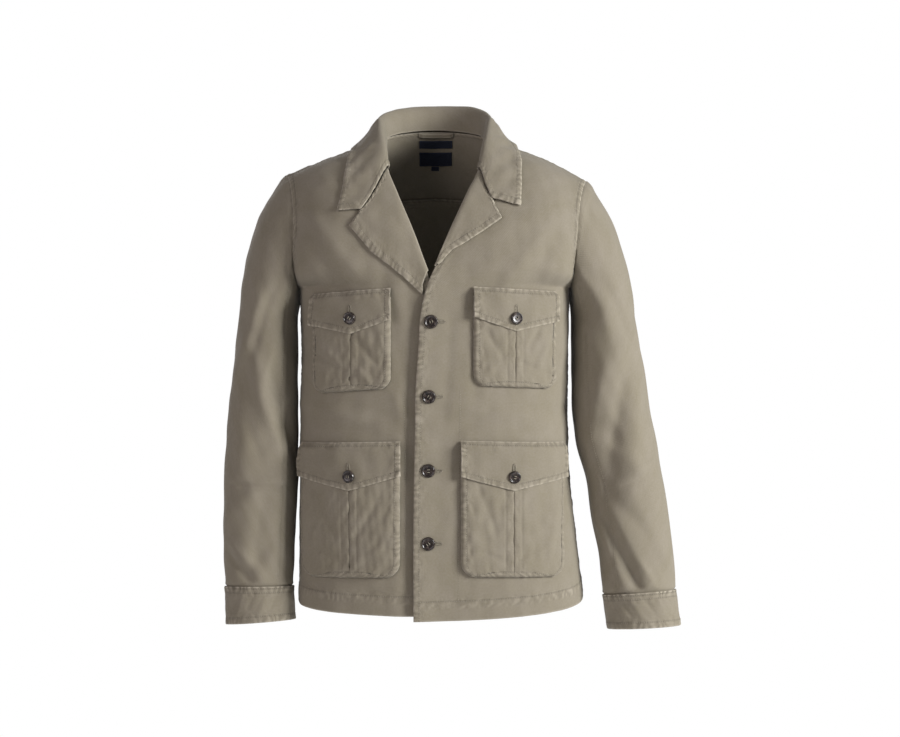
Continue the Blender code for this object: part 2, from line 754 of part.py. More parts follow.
def collar_back(side, share):
    """Stations of the collar over the back, from the shoulder seam (0) to the centre back (1)."""
    rows = COLLAR_BACK[side]
    seam = follow(rows, "q", "seam", share)[:, None]
    edge_across = follow(rows, "q", "across", share)[:, None]
    edge_up = follow(rows, "q", "up", share)[:, None]
    k = COLLAR_SECTION["share"][None, :]
    low = back_point(side * seam, 2.0 + 0 * seam)
    high = back_point(side * edge_across, edge_up)
    width = np.linalg.norm(high - low, axis=-1)
    place = k + np.maximum(COLLAR_SECTION["off"][None, :], 0) / width
    across = seam + (edge_across - seam) * place
    up = 2.0 + (edge_up - 2.0) * place
    inward = np.minimum(COLLAR_SECTION["off"][None, :], 0)
    points = back_point(side * across, up)
    away = unit(low * np.array((1.0, 1.0, 0.0)))
    points = points + away * inward[..., None]
    return collar_wall(side, rows, share, points, back_normal(side * across, up))


def collar_wall(side, rows, share, points, normals):
    """The stand rises along a slanted line and the fall comes back down to the cloth below it."""
    rise = triple(
        side * follow(rows, "q", "rise_out", share),
        follow(rows, "q", "rise_y", share),
        follow(rows, "q", "rise_z", share),
    )[:, None, :]
    clear = follow(rows, "q", "clear", share)[:, None] * (COLLAR_SECTION["share"] > 0.1)
    lift = (COLLAR_SECTION["lift"][None, :] + clear)[..., None]
    return points + normals * lift + rise * COLLAR_SECTION["rise"][None, :, None]


def add_collar():
    """One-piece collar: stand inside, fold along the top, fall outside."""
    front_share = evenly(0.0, 1.0, 8)
    back_share = evenly(0.0, 1.0, 7)
    stations = (
        collar_front(RIGHT, front_share),
        collar_back(RIGHT, back_share)[1:],
        collar_back(LEFT, back_share)[-2:0:-1],
        collar_front(LEFT, front_share)[::-1],
    )
    grid = np.concatenate(stations)
    grid[:, 0] = grid[:, 0] + np.array((0, 0, 2 * SEAM))
    wall("collar", grid, COLLAR_CLOTH, (0, 0, -100), outward=True, first=5)


def add_pocket(name, pocket):
    """Bellows pocket: face with an inverted pleat, and a gusset round its sides and foot."""
    side = pocket["side"]
    half = (pocket["outer"] - pocket["inner"]) / 2
    middle = (pocket["outer"] + pocket["inner"]) / 2
    corner = pocket["corner"]
    plain = evenly(PLEAT_HALF, half, 4)
    flat = np.concatenate((-plain[::-1], (-PLEAT_FOLD, 0.0, PLEAT_FOLD), plain))
    quarter = evenly(0.0, math.pi / 2, 4)
    depth = np.concatenate((
        evenly(BAG_DROP, pocket["depth"] - corner, 6)[:-1],
        pocket["depth"] - corner + corner * np.sin(quarter),
    ))
    narrow = np.concatenate((np.zeros(5), corner * (1 - np.cos(quarter))))
    flat, depth = np.meshgrid(flat, depth)
    squeeze = np.where(np.abs(flat) > PLEAT_HALF, 1.0, 0.0) * (np.abs(flat) - PLEAT_HALF) / (half - PLEAT_HALF)
    flat = flat - np.sign(flat) * squeeze * narrow[:, None]
    a = flat / half
    fold = np.where(np.abs(flat) < 1.0, PLEAT_DEPTH, 0.0)
    lift = BAG_LIFT - fold
    out = np.pad(middle + flat, ((0, 1), (1, 1)), mode="edge")
    z = pocket["top"] - depth - pocket["slope"] * (a + 1) / 2
    z = np.pad(z, ((0, 1), (1, 1)), mode="edge")
    lift = np.pad(lift, ((0, 1), (1, 1)), constant_values=LAID)
    wall("pocket_" + name, on_front(side, out, z, lift), POCKET_CLOTH, (0, 0, -400), outward=True)


def add_flap(name, pocket):
    """Pointed flap: sewn on above the pocket's mouth, hanging over its face."""
    side = pocket["side"]
    half = (pocket["outer"] - pocket["inner"]) / 2 + FLAP_WIDER
    middle = (pocket["outer"] + pocket["inner"]) / 2
    a = np.sin(evenly(-math.pi / 2, math.pi / 2, 11))[None, :]
    point = pocket["flap_side"] + (pocket["flap_point"] - pocket["flap_side"]) * (1 - np.abs(a)) ** 0.9
    share = np.array((0.0, 0.0, 0.0, 0.35, 0.68, 1.0))[:, None]
    start = np.array((0.0, 4.0, FLAP_HINGE, FLAP_HINGE, FLAP_HINGE, FLAP_HINGE))[:, None]
    depth = start + share * (point - FLAP_HINGE)
    lift = np.interp(depth, (0.0, 4.0, FLAP_HINGE), (LAID, 4.4, FLAP_LIFT))
    z = pocket["top"] - depth - pocket["slope"] * (a + 1) / 2
    out = middle + half * a + 0 * depth
    wall("flap_" + name, on_front(side, out, z, lift), FLAP_CLOTH, (0, 0, -400), outward=True)


def add_button(name, kind, side, out, z, lift):
    """Turned button with a raised rim, lying on the cloth."""
    radius = BUTTON_RADIUS[kind]
    across, up = find_on_front(side, np.array([float(out)]), np.array([float(z)]))
    normal = front_normal(side, across, up)[0]
    place = front_point(side, across, up)[0] + normal * lift
    x = BUTTON_PROFILE["radius"] * radius * MM
    height = BUTTON_PROFILE["height"] * radius * MM
    points = [(float(r), 0.0, float(h)) for r, h in zip(x, height)]
    mesh = bpy.data.meshes.new(name)
    mesh.from_pydata(points, [(i, i + 1) for i in range(len(points) - 1)], [])
    piece = add_piece(name, mesh, HORN)
    turned = piece.modifiers.new("Turned", "SCREW")
    turned.steps = 14
    turned.render_steps = 14
    turned.use_merge_vertices = True
    turned.merge_threshold = 0.00005
    piece.location = place * MM
    upward = np.array((0.0, 0.0, 1.0))
    turn_axis = np.cross(upward, normal)
    piece.rotation_mode = "AXIS_ANGLE"
    piece.rotation_axis_angle = (math.acos(normal[2]), *unit(turn_axis))


def add_pockets():
    """Four bellows pockets with buttoned flaps."""
    for name, pocket in POCKETS.items():
        add_pocket(name, pocket)
        add_flap(name, pocket)
        middle = (pocket["outer"] + pocket["inner"]) / 2
        z = pocket["top"] - pocket["button"] - pocket["slope"] / 2
        lift = FLAP_LIFT + FLAP_CLOTH + LAID
        add_button("button_" + name, "pocket", pocket["side"], middle, z, lift)


def add_front_buttons():
    """Four buttons that close the left front over the right."""
    for number, (out, z) in enumerate(zip(FRONT_BUTTONS["out"], FRONT_BUTTONS["z"]), start=1):
        add_button(f"button_front_{number}", "front", LEFT, out, z, LAID)


def inside_yoke(x, z, lift):
    """Point off the yoke's inner face, towards the neck opening."""
    across, up = find(back_point, x, z, x / HALF_WIDTH)
    return back_point(across, up) - back_normal(across, up) * (CLOTH + np.asarray(lift))[..., None]


def add_inside_neck():
    """Hanger loop and bare labels on the inside of the yoke."""
    x = evenly(-1.0, 1.0, 13)[None, :]
    z = np.array(LOOP_Z)[:, None]
    lift = LAID + LOOP_STANDOFF * step((1 - np.abs(x)) / LOOP_SLANT) + 0 * z
    wall("hanger_loop", inside_yoke(LOOP_X + LOOP_HALF * x, z, lift), LOOP_CLOTH, (0, 300, 0), outward=True)
    for name, label in LABELS.items():
        x = evenly(*label["x"], 5)[None, :]
        z = evenly(*label["z"], 3)[:, None]
        grid = inside_yoke(x, z, LAID + 0 * x * z)
        wall(name, grid, LABEL_CLOTH, (0, 300, 0), outward=True, colour=NAVY)


add_fronts()
add_back()
add_sleeves()
add_lapels()
add_collar()
add_pockets()
add_front_buttons()
add_inside_neck()
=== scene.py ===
"""Safari jacket, dressed: washed cotton drill, hollow as it is worn. Sizes in millimetres, meshes in metres."""
import math

import bpy
import numpy as np
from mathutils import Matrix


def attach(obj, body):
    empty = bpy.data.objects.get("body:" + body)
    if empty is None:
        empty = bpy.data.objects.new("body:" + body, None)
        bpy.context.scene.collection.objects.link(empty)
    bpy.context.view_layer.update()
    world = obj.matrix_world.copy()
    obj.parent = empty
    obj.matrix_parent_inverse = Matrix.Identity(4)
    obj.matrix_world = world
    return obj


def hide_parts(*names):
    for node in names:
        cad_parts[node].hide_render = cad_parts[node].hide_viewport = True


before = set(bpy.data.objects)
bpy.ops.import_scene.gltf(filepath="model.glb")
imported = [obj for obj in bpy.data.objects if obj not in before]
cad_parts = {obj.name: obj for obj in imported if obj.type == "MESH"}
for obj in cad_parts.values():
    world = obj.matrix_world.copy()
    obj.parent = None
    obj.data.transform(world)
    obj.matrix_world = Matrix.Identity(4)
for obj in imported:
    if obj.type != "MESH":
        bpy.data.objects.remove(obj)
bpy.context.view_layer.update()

# The picture's view: straight on, at the height of the jacket's middle, from 2.4 m away.
eye = bpy.data.cameras.new("eye")
eye.sensor_width = 36.0
eye.lens = 64.0
eye_object = bpy.data.objects.new("eye", eye)
eye_object.location = (0.024, -2.4, -0.32775)
eye_object.rotation_euler = (math.pi / 2, 0.0, 0.0)
bpy.context.scene.collection.objects.link(eye_object)
bpy.context.scene.camera = eye_object


# Studio: a pale floor, a white surround that only the camera sees, and large soft lights.
# The strongest light comes from the picture's right.
FLOOR_HALF = 2.2
FLOOR_Z = -1.42


def linear(hex_colour):
    """A written sRGB colour as the linear values that a shader takes."""
    channels = np.array([int(hex_colour[i:i + 2], 16) for i in (1, 3, 5)]) / 255
    low = channels / 12.92
    high = ((channels + 0.055) / 1.055) ** 2.4
    return (*np.where(channels <= 0.04045, low, high).tolist(), 1.0)


def add_light(name, place, aim, size, watts, colour="#ffffff"):
    """A square soft light at a place, facing a point."""
    light = bpy.data.lights.new(name, "AREA")
    light.size = size
    light.energy = watts
    light.color = linear(colour)[:3]
    lamp = bpy.data.objects.new(name, light)
    lamp.location = place
    away = np.array(place) - np.array(aim)
    down = math.atan2(math.hypot(away[0], away[1]), away[2])
    lamp.rotation_euler = (down, 0.0, math.atan2(away[0], -away[1]))
    bpy.context.scene.collection.objects.link(lamp)


bpy.context.scene.view_settings.view_transform = "Standard"
add_light("key_light", (2.7, -1.45, 0.38), (0.0, 0.0, -0.3), 1.1, 150.0)
add_light("fill_light", (-2.2, -2.3, 0.6), (0.0, 0.0, -0.35), 2.0, 38.0, "#fff4f6")
add_light("top_light", (0.2, 0.5, 2.2), (0.0, 0.0, -0.2), 1.6, 8.0)
add_light("back_light", (-0.9, 2.8, 0.7), (0.0, 0.0, -0.35), 1.8, 45.0)
world = bpy.data.worlds.new("studio")
world.use_nodes = True
room_light = world.node_tree.nodes["Background"]
room_light.inputs["Color"].default_value = linear("#f3f3fa")
room_light.inputs["Strength"].default_value = 0.18
white_sweep = world.node_tree.nodes.new("ShaderNodeBackground")
white_sweep.inputs["Color"].default_value = (1.0, 1.0, 1.0, 1.0)
seen = world.node_tree.nodes.new("ShaderNodeLightPath")
either = world.node_tree.nodes.new("ShaderNodeMixShader")
world.node_tree.links.new(seen.outputs["Is Camera Ray"], either.inputs["Fac"])
world.node_tree.links.new(room_light.outputs["Background"], either.inputs[1])
world.node_tree.links.new(white_sweep.outputs["Background"], either.inputs[2])
world.node_tree.links.new(either.outputs["Shader"], world.node_tree.nodes["World Output"].inputs["Surface"])
bpy.context.scene.world = world

floor_mesh = bpy.data.meshes.new("studio_floor")
floor_corners = [(FLOOR_HALF * x, FLOOR_HALF * y, FLOOR_Z) for x, y in ((-1, -1), (1, -1), (1, 1), (-1, 1))]
floor_mesh.from_pydata(floor_corners, [], [(0, 1, 2, 3)])
paper = bpy.data.materials.new("pale_studio_paper")
paper.use_nodes = True
paper_shader = paper.node_tree.nodes["Principled BSDF"]
paper_shader.inputs["Base Color"].default_value = linear("#f4f4f4")
paper_shader.inputs["Roughness"].default_value = 0.9
floor_mesh.materials.append(paper)
floor = bpy.data.objects.new("studio_floor", floor_mesh)
bpy.context.scene.collection.objects.link(floor)


# Fronts: two pieces of washed cotton drill, each cut from hem to shoulder. The left laps over the right.
# The front edges and the hem are turned in and stitched 8 and 28 mm from the edge.
MM = 0.001
LEFT = 1
RIGHT = -1
FRONT = -1
BACK = 1
HALF_WIDTH = 230.0
TOP_RISE = 220.0
CLOTH = 1.6
LAID = 0.9
ARMPIT_Z = -208.0
HEM_SIDE_Z = {LEFT: -665.0, RIGHT: -672.0}
HEM_DROP = {(LEFT, FRONT): 24.0, (RIGHT, FRONT): 11.0, (LEFT, BACK): 12.0, (RIGHT, BACK): 5.0}
RING_POWER = 2.4
UNDERLAP = 2.8
UNDERLAP_FROM = 31.0
UNDERLAP_TO = 52.0
NECK = {LEFT: (79.0, 6.0, 17.0), RIGHT: (75.0, 6.0, 17.0)}
SHOULDER = {LEFT: (229.0, 4.0, -46.0), RIGHT: (221.0, 4.0, -39.0)}
SHOULDER_BOW = {LEFT: 6.0, RIGHT: 3.5}
SHOULDER_CROWN = {FRONT: 17.0, BACK: 12.0}
SIDE_GAP = 0.0016
TOP_GAP = 0.0024
CROWN_PEAK = 0.75 ** 3 * 0.25
CROWN_SLANT = 0.7


def table(names, *rows):
    """Columns by name, from rows written one to a line."""
    return {name: np.array(column, float) for name, column in zip(names.split(), zip(*rows))}


BODY = table(
    "z right left front back",
    (-700, 203, 226, 116, 121),
    (-620, 201, 218, 115, 119),
    (-560, 200, 211, 114, 118),
    (-500, 199, 203, 112, 116),
    (-400, 198, 199, 112, 115),
    (-300, 198, 200, 118, 120),
    (-208, 200, 203, 122, 124),
)

EDGE = {
    LEFT: table(
        "z out y",
        (-700, -28, -116),
        (-541, -28, -114),
        (-418, -26, -112),
        (-358, -25, -114),
        (-300, -21, -118),
        (-246, -17, -121),
        (-208, -8, -122),
        (-170, 9, -120),
        (-140, 22, -115),
        (-107, 37, -106),
        (-70, 54, -89),
        (-40, 68, -68),
        (-8, 75, -36),
        (17, 79, 6),
    ),
    RIGHT: table(
        "z out y",
        (-700, -22, -116),
        (-358, -22, -114),
        (-300, -19, -118),
        (-246, -12, -121),
        (-208, 2, -122),
        (-167, 18, -119),
        (-137, 29, -114),
        (-108, 41, -106),
        (-72, 56, -90),
        (-38, 69, -67),
        (-8, 73, -36),
        (17, 75, 6),
    ),
}

ARMHOLE = {
    (LEFT, FRONT): table(
        "t out y z",
        (0.00, 203, 0, -208),
        (0.14, 203, -44, -200),
        (0.32, 205, -66, -172),
        (0.52, 210, -67, -130),
        (0.72, 215, -54, -88),
        (0.88, 223, -28, -58),
        (1.00, 229, 4, -46),
    ),
    (RIGHT, FRONT): table(
        "t out y z",
        (0.00, 200, 0, -208),
        (0.14, 201, -44, -200),
        (0.32, 204, -66, -172),
        (0.52, 205, -67, -128),
        (0.72, 208, -54, -82),
        (0.88, 214, -28, -52),
        (1.00, 221, 4, -39),
    ),
    (LEFT, BACK): table(
        "t out y z",
        (0.00, 203, 0, -208),
        (0.14, 201, 40, -202),
        (0.32, 199, 68, -174),
        (0.52, 202, 76, -130),
        (0.72, 208, 64, -86),
        (0.88, 219, 36, -57),
        (1.00, 229, 4, -46),
    ),
    (RIGHT, BACK): table(
        "t out y z",
        (0.00, 200, 0, -208),
        (0.14, 198, 40, -202),
        (0.32, 196, 68, -174),
        (0.52, 198, 76, -128),
        (0.72, 202, 64, -80),
        (0.88, 211, 36, -50),
        (1.00, 221, 4, -39),
    ),
}


def follow(rows, key, value, at):
    """Smooth curve through one column against another, a cubic between each two rows."""
    knots = rows[key]
    values = rows[value]
    slopes = np.gradient(values, knots)
    at = np.asarray(at, float)
    i = np.clip(np.searchsorted(knots, at, side="right") - 1, 0, len(knots) - 2)
    span = knots[i + 1] - knots[i]
    u = np.clip((at - knots[i]) / span, 0.0, 1.0)
    start = (1 + 2 * u) * (1 - u) ** 2 * values[i] + u * (1 - u) ** 2 * span * slopes[i]
    end = u * u * (3 - 2 * u) * values[i + 1] + u * u * (u - 1) * span * slopes[i + 1]
    return start + end


def columns(rows, key, names, at):
    """Several columns of one table, each followed at the same places."""
    return [follow(rows, key, name, at) for name in names.split()]


def triple(x, y, z):
    """Points from three arrays of one shape, or numbers."""
    return np.stack(np.broadcast_arrays(x, y, z), axis=-1).astype(float)


def between(low, high, share):
    """Straight from one point to another, or along arrays of points."""
    share = np.asarray(share)[..., None]
    return np.asarray(low) * (1 - share) + np.asarray(high) * share


def step(value):
    """Rises smoothly from 0 to 1 as the value does."""
    u = np.clip(value, 0.0, 1.0)
    return u * u * (3 - 2 * u)


def mirrored(side, place):
    """A named place, written for the wearer's left, on its own side."""
    return np.array((side * place[0], place[1], place[2]))


def body_ring(side, face, turn, z):
    """Level section of the body: a full-cornered oval. Turn is 0 at the side seam, pi/2 at the centre."""
    width = np.where(side > 0, follow(BODY, "z", "left", z), follow(BODY, "z", "right", z))
    depth = follow(BODY, "z", "front" if face == FRONT else "back", z)
    cosine = np.cos(turn)
    sine = np.sin(turn)
    size = (np.abs(cosine) ** RING_POWER + np.abs(sine) ** RING_POWER) ** (-1 / RING_POWER)
    return triple(side * width * size * cosine, face * depth * size * sine, z)


def hem_height(side, face, across):
    """The hem dips from the side seams to the centre."""
    return HEM_SIDE_Z[side] - HEM_DROP[(side, face)] * np.sin(math.pi / 2 * (1 - across))


def armhole(side, face, t):
    """Armhole seam from the underarm (0) to the shoulder point (1)."""
    out, y, z = columns(ARMHOLE[(side, face)], "t", "out y z", t)
    return triple(side * out, y, z)


def patch(across, t, corners, bottom, inner, outer, top):
    """Skin between four edges. Each edge adds its departure from its own chord, fading across."""
    straight = between(between(corners[0], corners[1], across), between(corners[2], corners[3], across), t)
    fade = np.cos(math.pi / 2 * np.clip(t, 0, 1))[..., None] ** 2
    reach = np.clip(across, 0, None)[..., None] ** 1.5
    near_top = np.clip(t, 0, None)[..., None] ** 5
    return straight + bottom * fade + top * near_top + inner * (1 - across)[..., None] + outer * reach


def crown(face, across, t):
    """The shoulder rounds over: a swell that is fullest three quarters of the way up."""
    swell = SHOULDER_CROWN[face] * 4 * across * (1 - across) * t ** 3 * (1 - t) / CROWN_PEAK
    return triple(0, face * CROWN_SLANT * swell, CROWN_SLANT * swell)


def front_point(side, across, up):
    """Outer face of a front.

    Across runs from the front edge or roll line (0) to the side seam or armhole (1).
    Up runs from the hem (0) to the armpit (1) to the shoulder seam (2).
    """
    across, up = np.broadcast_arrays(np.asarray(across, float), np.asarray(up, float))
    low = np.clip(up, 0.0, 1.0)
    t = np.clip(up - 1.0, 0.0, None)
    hem = hem_height(side, FRONT, np.clip(across, 0, 1))
    z = hem + (ARMPIT_Z - hem) * low
    name = "left" if side == LEFT else "right"
    edge_turn = np.arctan2(follow(BODY, "z", name, z), follow(EDGE[side], "z", "out", z))
    lower = body_ring(side, FRONT, edge_turn * (1 - across), z)
    armpit_turn = math.atan2(follow(BODY, "z", name, ARMPIT_Z), follow(EDGE[side], "z", "out", ARMPIT_Z))
    inner_low = body_ring(side, FRONT, armpit_turn, ARMPIT_Z)
    outer_low = body_ring(side, FRONT, 0.0, ARMPIT_Z)
    neck = mirrored(side, NECK[side])
    shoulder = mirrored(side, SHOULDER[side])
    roll_z = ARMPIT_Z + (neck[2] - ARMPIT_Z) * t
    out, y = columns(EDGE[side], "z", "out y", roll_z)
    roll = triple(side * out, y, roll_z)
    roll_bow = roll - between(inner_low, neck, t)
    arm_bow = armhole(side, FRONT, t) - between(outer_low, shoulder, t)
    low_bow = lower - between(inner_low, outer_low, across)
    top_bow = triple(0, 0, SHOULDER_BOW[side] * np.sin(math.pi * np.clip(across, 0, 1)))
    corners = (inner_low, outer_low, neck, shoulder)
    upper = patch(across, t, corners, low_bow, roll_bow, arm_bow, top_bow) + crown(FRONT, across, t)
    point = np.where((up > 1.0)[..., None], upper, lower)
    if side == RIGHT:
        under = (UNDERLAP_TO + point[..., 0]) / (UNDERLAP_TO - UNDERLAP_FROM)
        point = point + triple(0, UNDERLAP * step(under), 0)
    return point


def unit(vectors):
    """The same directions, each one long."""
    return vectors / np.linalg.norm(vectors, axis=-1, keepdims=True)


def front_normal(side, across, up):
    """Direction out of a front's outer face."""
    small = 0.004
    sideways = front_point(side, across + small, up) - front_point(side, across - small, up)
    upwards = front_point(side, across, up + small) - front_point(side, across, up - small)
    return side * unit(np.cross(sideways, upwards))


def find(point_at, x, z, across):
    """Across and up of the place with a given x and z, by Newton's method from a first guess."""
    x, z, across = np.broadcast_arrays(np.asarray(x, float), np.asarray(z, float), across)
    hem = HEM_SIDE_Z[RIGHT]
    up = np.clip((z - hem) / (ARMPIT_Z - hem), 0, 1) + np.clip((z - ARMPIT_Z) / TOP_RISE, 0, 1)
    small = 0.001
    most = 0.1
    for _ in range(30):
        here = point_at(across, up)
        sideways = (point_at(across + small, up) - here) / small
        upwards = (point_at(across, up + small) - here) / small
        miss_x = x - here[..., 0]
        miss_z = z - here[..., 2]
        area = sideways[..., 0] * upwards[..., 2] - sideways[..., 2] * upwards[..., 0]
        area = np.where(np.abs(area) < 1.0, 1.0, area)
        across = across + np.clip((miss_x * upwards[..., 2] - miss_z * upwards[..., 0]) / area, -most, most)
        up = up + np.clip((miss_z * sideways[..., 0] - miss_x * sideways[..., 2]) / area, -most, most)
        up = np.clip(up, -0.02, 2.02)
    return across, up


def find_on_front(side, out, z):
    """Across and up on a front, from the distance out from the centre line and the height."""
    out = np.asarray(out, float)
    guess = np.clip(out / HALF_WIDTH, 0, 0.9)
    return find(lambda across, up: front_point(side, across, up), side * out, z, guess)


FRONT_FOLDS = {
    LEFT: table(
        "out z slant long wide high",
        (150, -190, 62, 70, 12, -2.6),
        (128, -172, 55, 60, 11, 1.8),
        (168, -236, 70, 60, 10, 1.6),
        (120, -120, 25, 60, 16, 1.6),
        (70, -300, 82, 80, 11, -1.5),
        (180, -330, 76, 80, 12, 1.8),
        (165, -395, 20, 60, 10, -1.8),
        (90, -392, -12, 70, 12, 1.7),
        (50, -410, 35, 45, 9, -1.3),
        (22, -330, 86, 80, 8, -1.2),
        (195, -520, 84, 90, 10, -2.2),
        (60, -640, 10, 60, 8, -1.0),
        (140, -652, -6, 60, 8, 1.1),
    ),
    RIGHT: table(
        "out z slant long wide high",
        (160, -176, 58, 70, 12, -2.8),
        (136, -158, 50, 60, 11, 2.0),
        (176, -232, 68, 60, 10, 1.8),
        (100, -110, 30, 60, 16, 1.5),
        (58, -262, 78, 70, 10, -1.5),
        (186, -320, 80, 80, 12, -1.8),
        (150, -390, 14, 70, 11, 1.9),
        (92, -405, -18, 60, 10, -1.5),
        (48, -380, 60, 60, 9, 1.3),
        (28, -500, 88, 110, 8, -1.2),
        (190, -500, 84, 90, 10, 2.0),
        (70, -655, 6, 60, 8, -1.0),
        (150, -650, -10, 60, 8, 1.1),
    ),
}
EDGE_STANDS_OFF = 5.0
EDGE_CURL = 0.075
EDGE_CURL_Z = -150.0
EDGE_CURL_FADE = 120.0
SEAM_FADE = 0.08
WAVES = 7
BROAD_PITCH = 120.0
BROAD_HIGH = 0.9
SOFT_PITCH = 34.0
SOFT_HIGH = 0.32


def waves(points, pitch, seed):
    """Unevenness: a sum of seven sine waves through space, each with its own direction, pitch and phase."""
    chance = np.random.default_rng(seed)
    directions = chance.normal(size=(WAVES, 3))
    stretches = chance.uniform(0.6, 1.6, WAVES)
    phases = chance.uniform(0, 6.28, WAVES)
    total = 0.0
    for direction, stretch, phase in zip(directions, stretches, phases):
        along = points @ (direction / np.linalg.norm(direction))
        total = total + np.sin(along * 2 * math.pi / (pitch * stretch) + phase)
    return total / math.sqrt(WAVES)


def folds(rows, x, z):
    """Listed folds: each a bell across its own slanted line, fading out at both ends."""
    total = 0.0
    for at_x, at_z, slant, length, width, height in zip(*rows.values()):
        cosine = math.cos(math.radians(slant))
        sine = math.sin(math.radians(slant))
        along = (x - at_x) * cosine + (z - at_z) * sine
        off = (z - at_z) * cosine - (x - at_x) * sine
        total = total + height * np.exp(-(off / width) ** 2 - (along / length) ** 4)
    return total


def drape(points):
    """Slow waves that all of the body's cloth shares, so its seams meet."""
    return BROAD_HIGH * waves(points, BROAD_PITCH, 3) + SOFT_HIGH * waves(points, SOFT_PITCH, 8)


def front_relief(side, across, points):
    """How far a front's cloth stands off its plain form."""
    relief = drape(points)
    if side == LEFT:
        low = step((EDGE_CURL_Z - points[..., 2]) / EDGE_CURL_FADE)
        relief = relief + EDGE_STANDS_OFF * np.exp(-(across / EDGE_CURL) ** 2) * low
    fade = step((1 - across) / SEAM_FADE)
    return relief + fade * folds(FRONT_FOLDS[side], side * points[..., 0], points[..., 2])


def front_surface(side, across, up, lift):
    """Points on a front, creased, at a height over its outer face."""
    points = front_point(side, across, up)
    relief = front_relief(side, across, points)
    return points + front_normal(side, across, up) * (relief + lift)[..., None]


def places(length, band, fine, coarse):
    """Distances from 0 to a length, close together within a band at both ends."""
    near = np.arange(0.0, band, fine)
    middle = np.linspace(band, length - band, max(2, round((length - 2 * band) / coarse)))
    return np.concatenate((near, middle, length - near[::-1]))


def border_distances(grid):
    """Distance of each grid point from the first and last column and the first and last row."""
    across = np.pad(np.cumsum(np.linalg.norm(np.diff(grid, axis=1), axis=-1), axis=1), ((0, 0), (1, 0)))
    along = np.pad(np.cumsum(np.linalg.norm(np.diff(grid, axis=0), axis=-1), axis=0), ((1, 0), (0, 0)))
    return {"first": across, "last": across[:, -1:] - across, "foot": along, "head": along[-1:] - along}


def outward_normals(grid, inside, tube, judged):
    """Directions square to the grid, pointing away from the inside, and whether that is its own sense."""
    if tube:
        sideways = np.roll(grid, -1, axis=1) - np.roll(grid, 1, axis=1)
    else:
        sideways = np.gradient(grid, axis=1)
    normals = np.cross(sideways, np.gradient(grid, axis=0))
    normals = normals / np.maximum(np.linalg.norm(normals, axis=-1, keepdims=True), 1e-9)
    sense = np.sign(np.sum((normals * (grid - inside))[:, judged:]))
    return normals * sense, sense


def grid_faces(rows, count, tube):
    """Point numbers of a grid, its first column again at the end if it is a tube, and its quads."""
    number = np.arange(rows * count).reshape(rows, count)
    if tube:
        number = np.concatenate((number, number[:, :1]), axis=1)
    quads = np.stack((number[:-1, :-1], number[:-1, 1:], number[1:, 1:], number[1:, :-1]), axis=-1)
    return number, quads.reshape(-1, 4)


def add_piece(name, mesh, finish, node_name=None):
    """One made piece in the scene, fixed to the part's one body."""
    mesh.materials.append(finish)
    mesh.shade_smooth()
    piece = bpy.data.objects.new(name, mesh)
    bpy.context.scene.collection.objects.link(piece)
    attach(piece, "root")
    if node_name:
        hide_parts(node_name)
    return piece


def node(material, kind, settings, links):
    """One shader node with its settings, and links from (node, output) to its inputs."""
    made = material.node_tree.nodes.new("ShaderNode" + kind)
    for name, value in settings.items():
        if isinstance(name, int) or name in made.inputs:
            made.inputs[name].default_value = value
        else:
            setattr(made, name, value)
    for name, (source, output) in links.items():
        material.node_tree.links.new(source.outputs[output], made.inputs[name])
    return made


def blend(material, factor, low, high):
    """A mix of two colours, each written out or a (node, output). The mix comes back as a (node, output) too."""
    mix = node(material, "Mix", {"data_type": "RGBA"}, {"Factor": factor})
    for place, colour in ((6, low), (7, high)):
        if isinstance(colour, str):
            mix.inputs[place].default_value = linear(colour)
        else:
            material.node_tree.links.new(colour[0].outputs[colour[1]], mix.inputs[place])
    return mix, 2


# Strength of the painted light on puckered seams: painted highlight on their ridges, painted shade in their
# hollows.
ROPE_PAINTED_LIGHT = 0.34


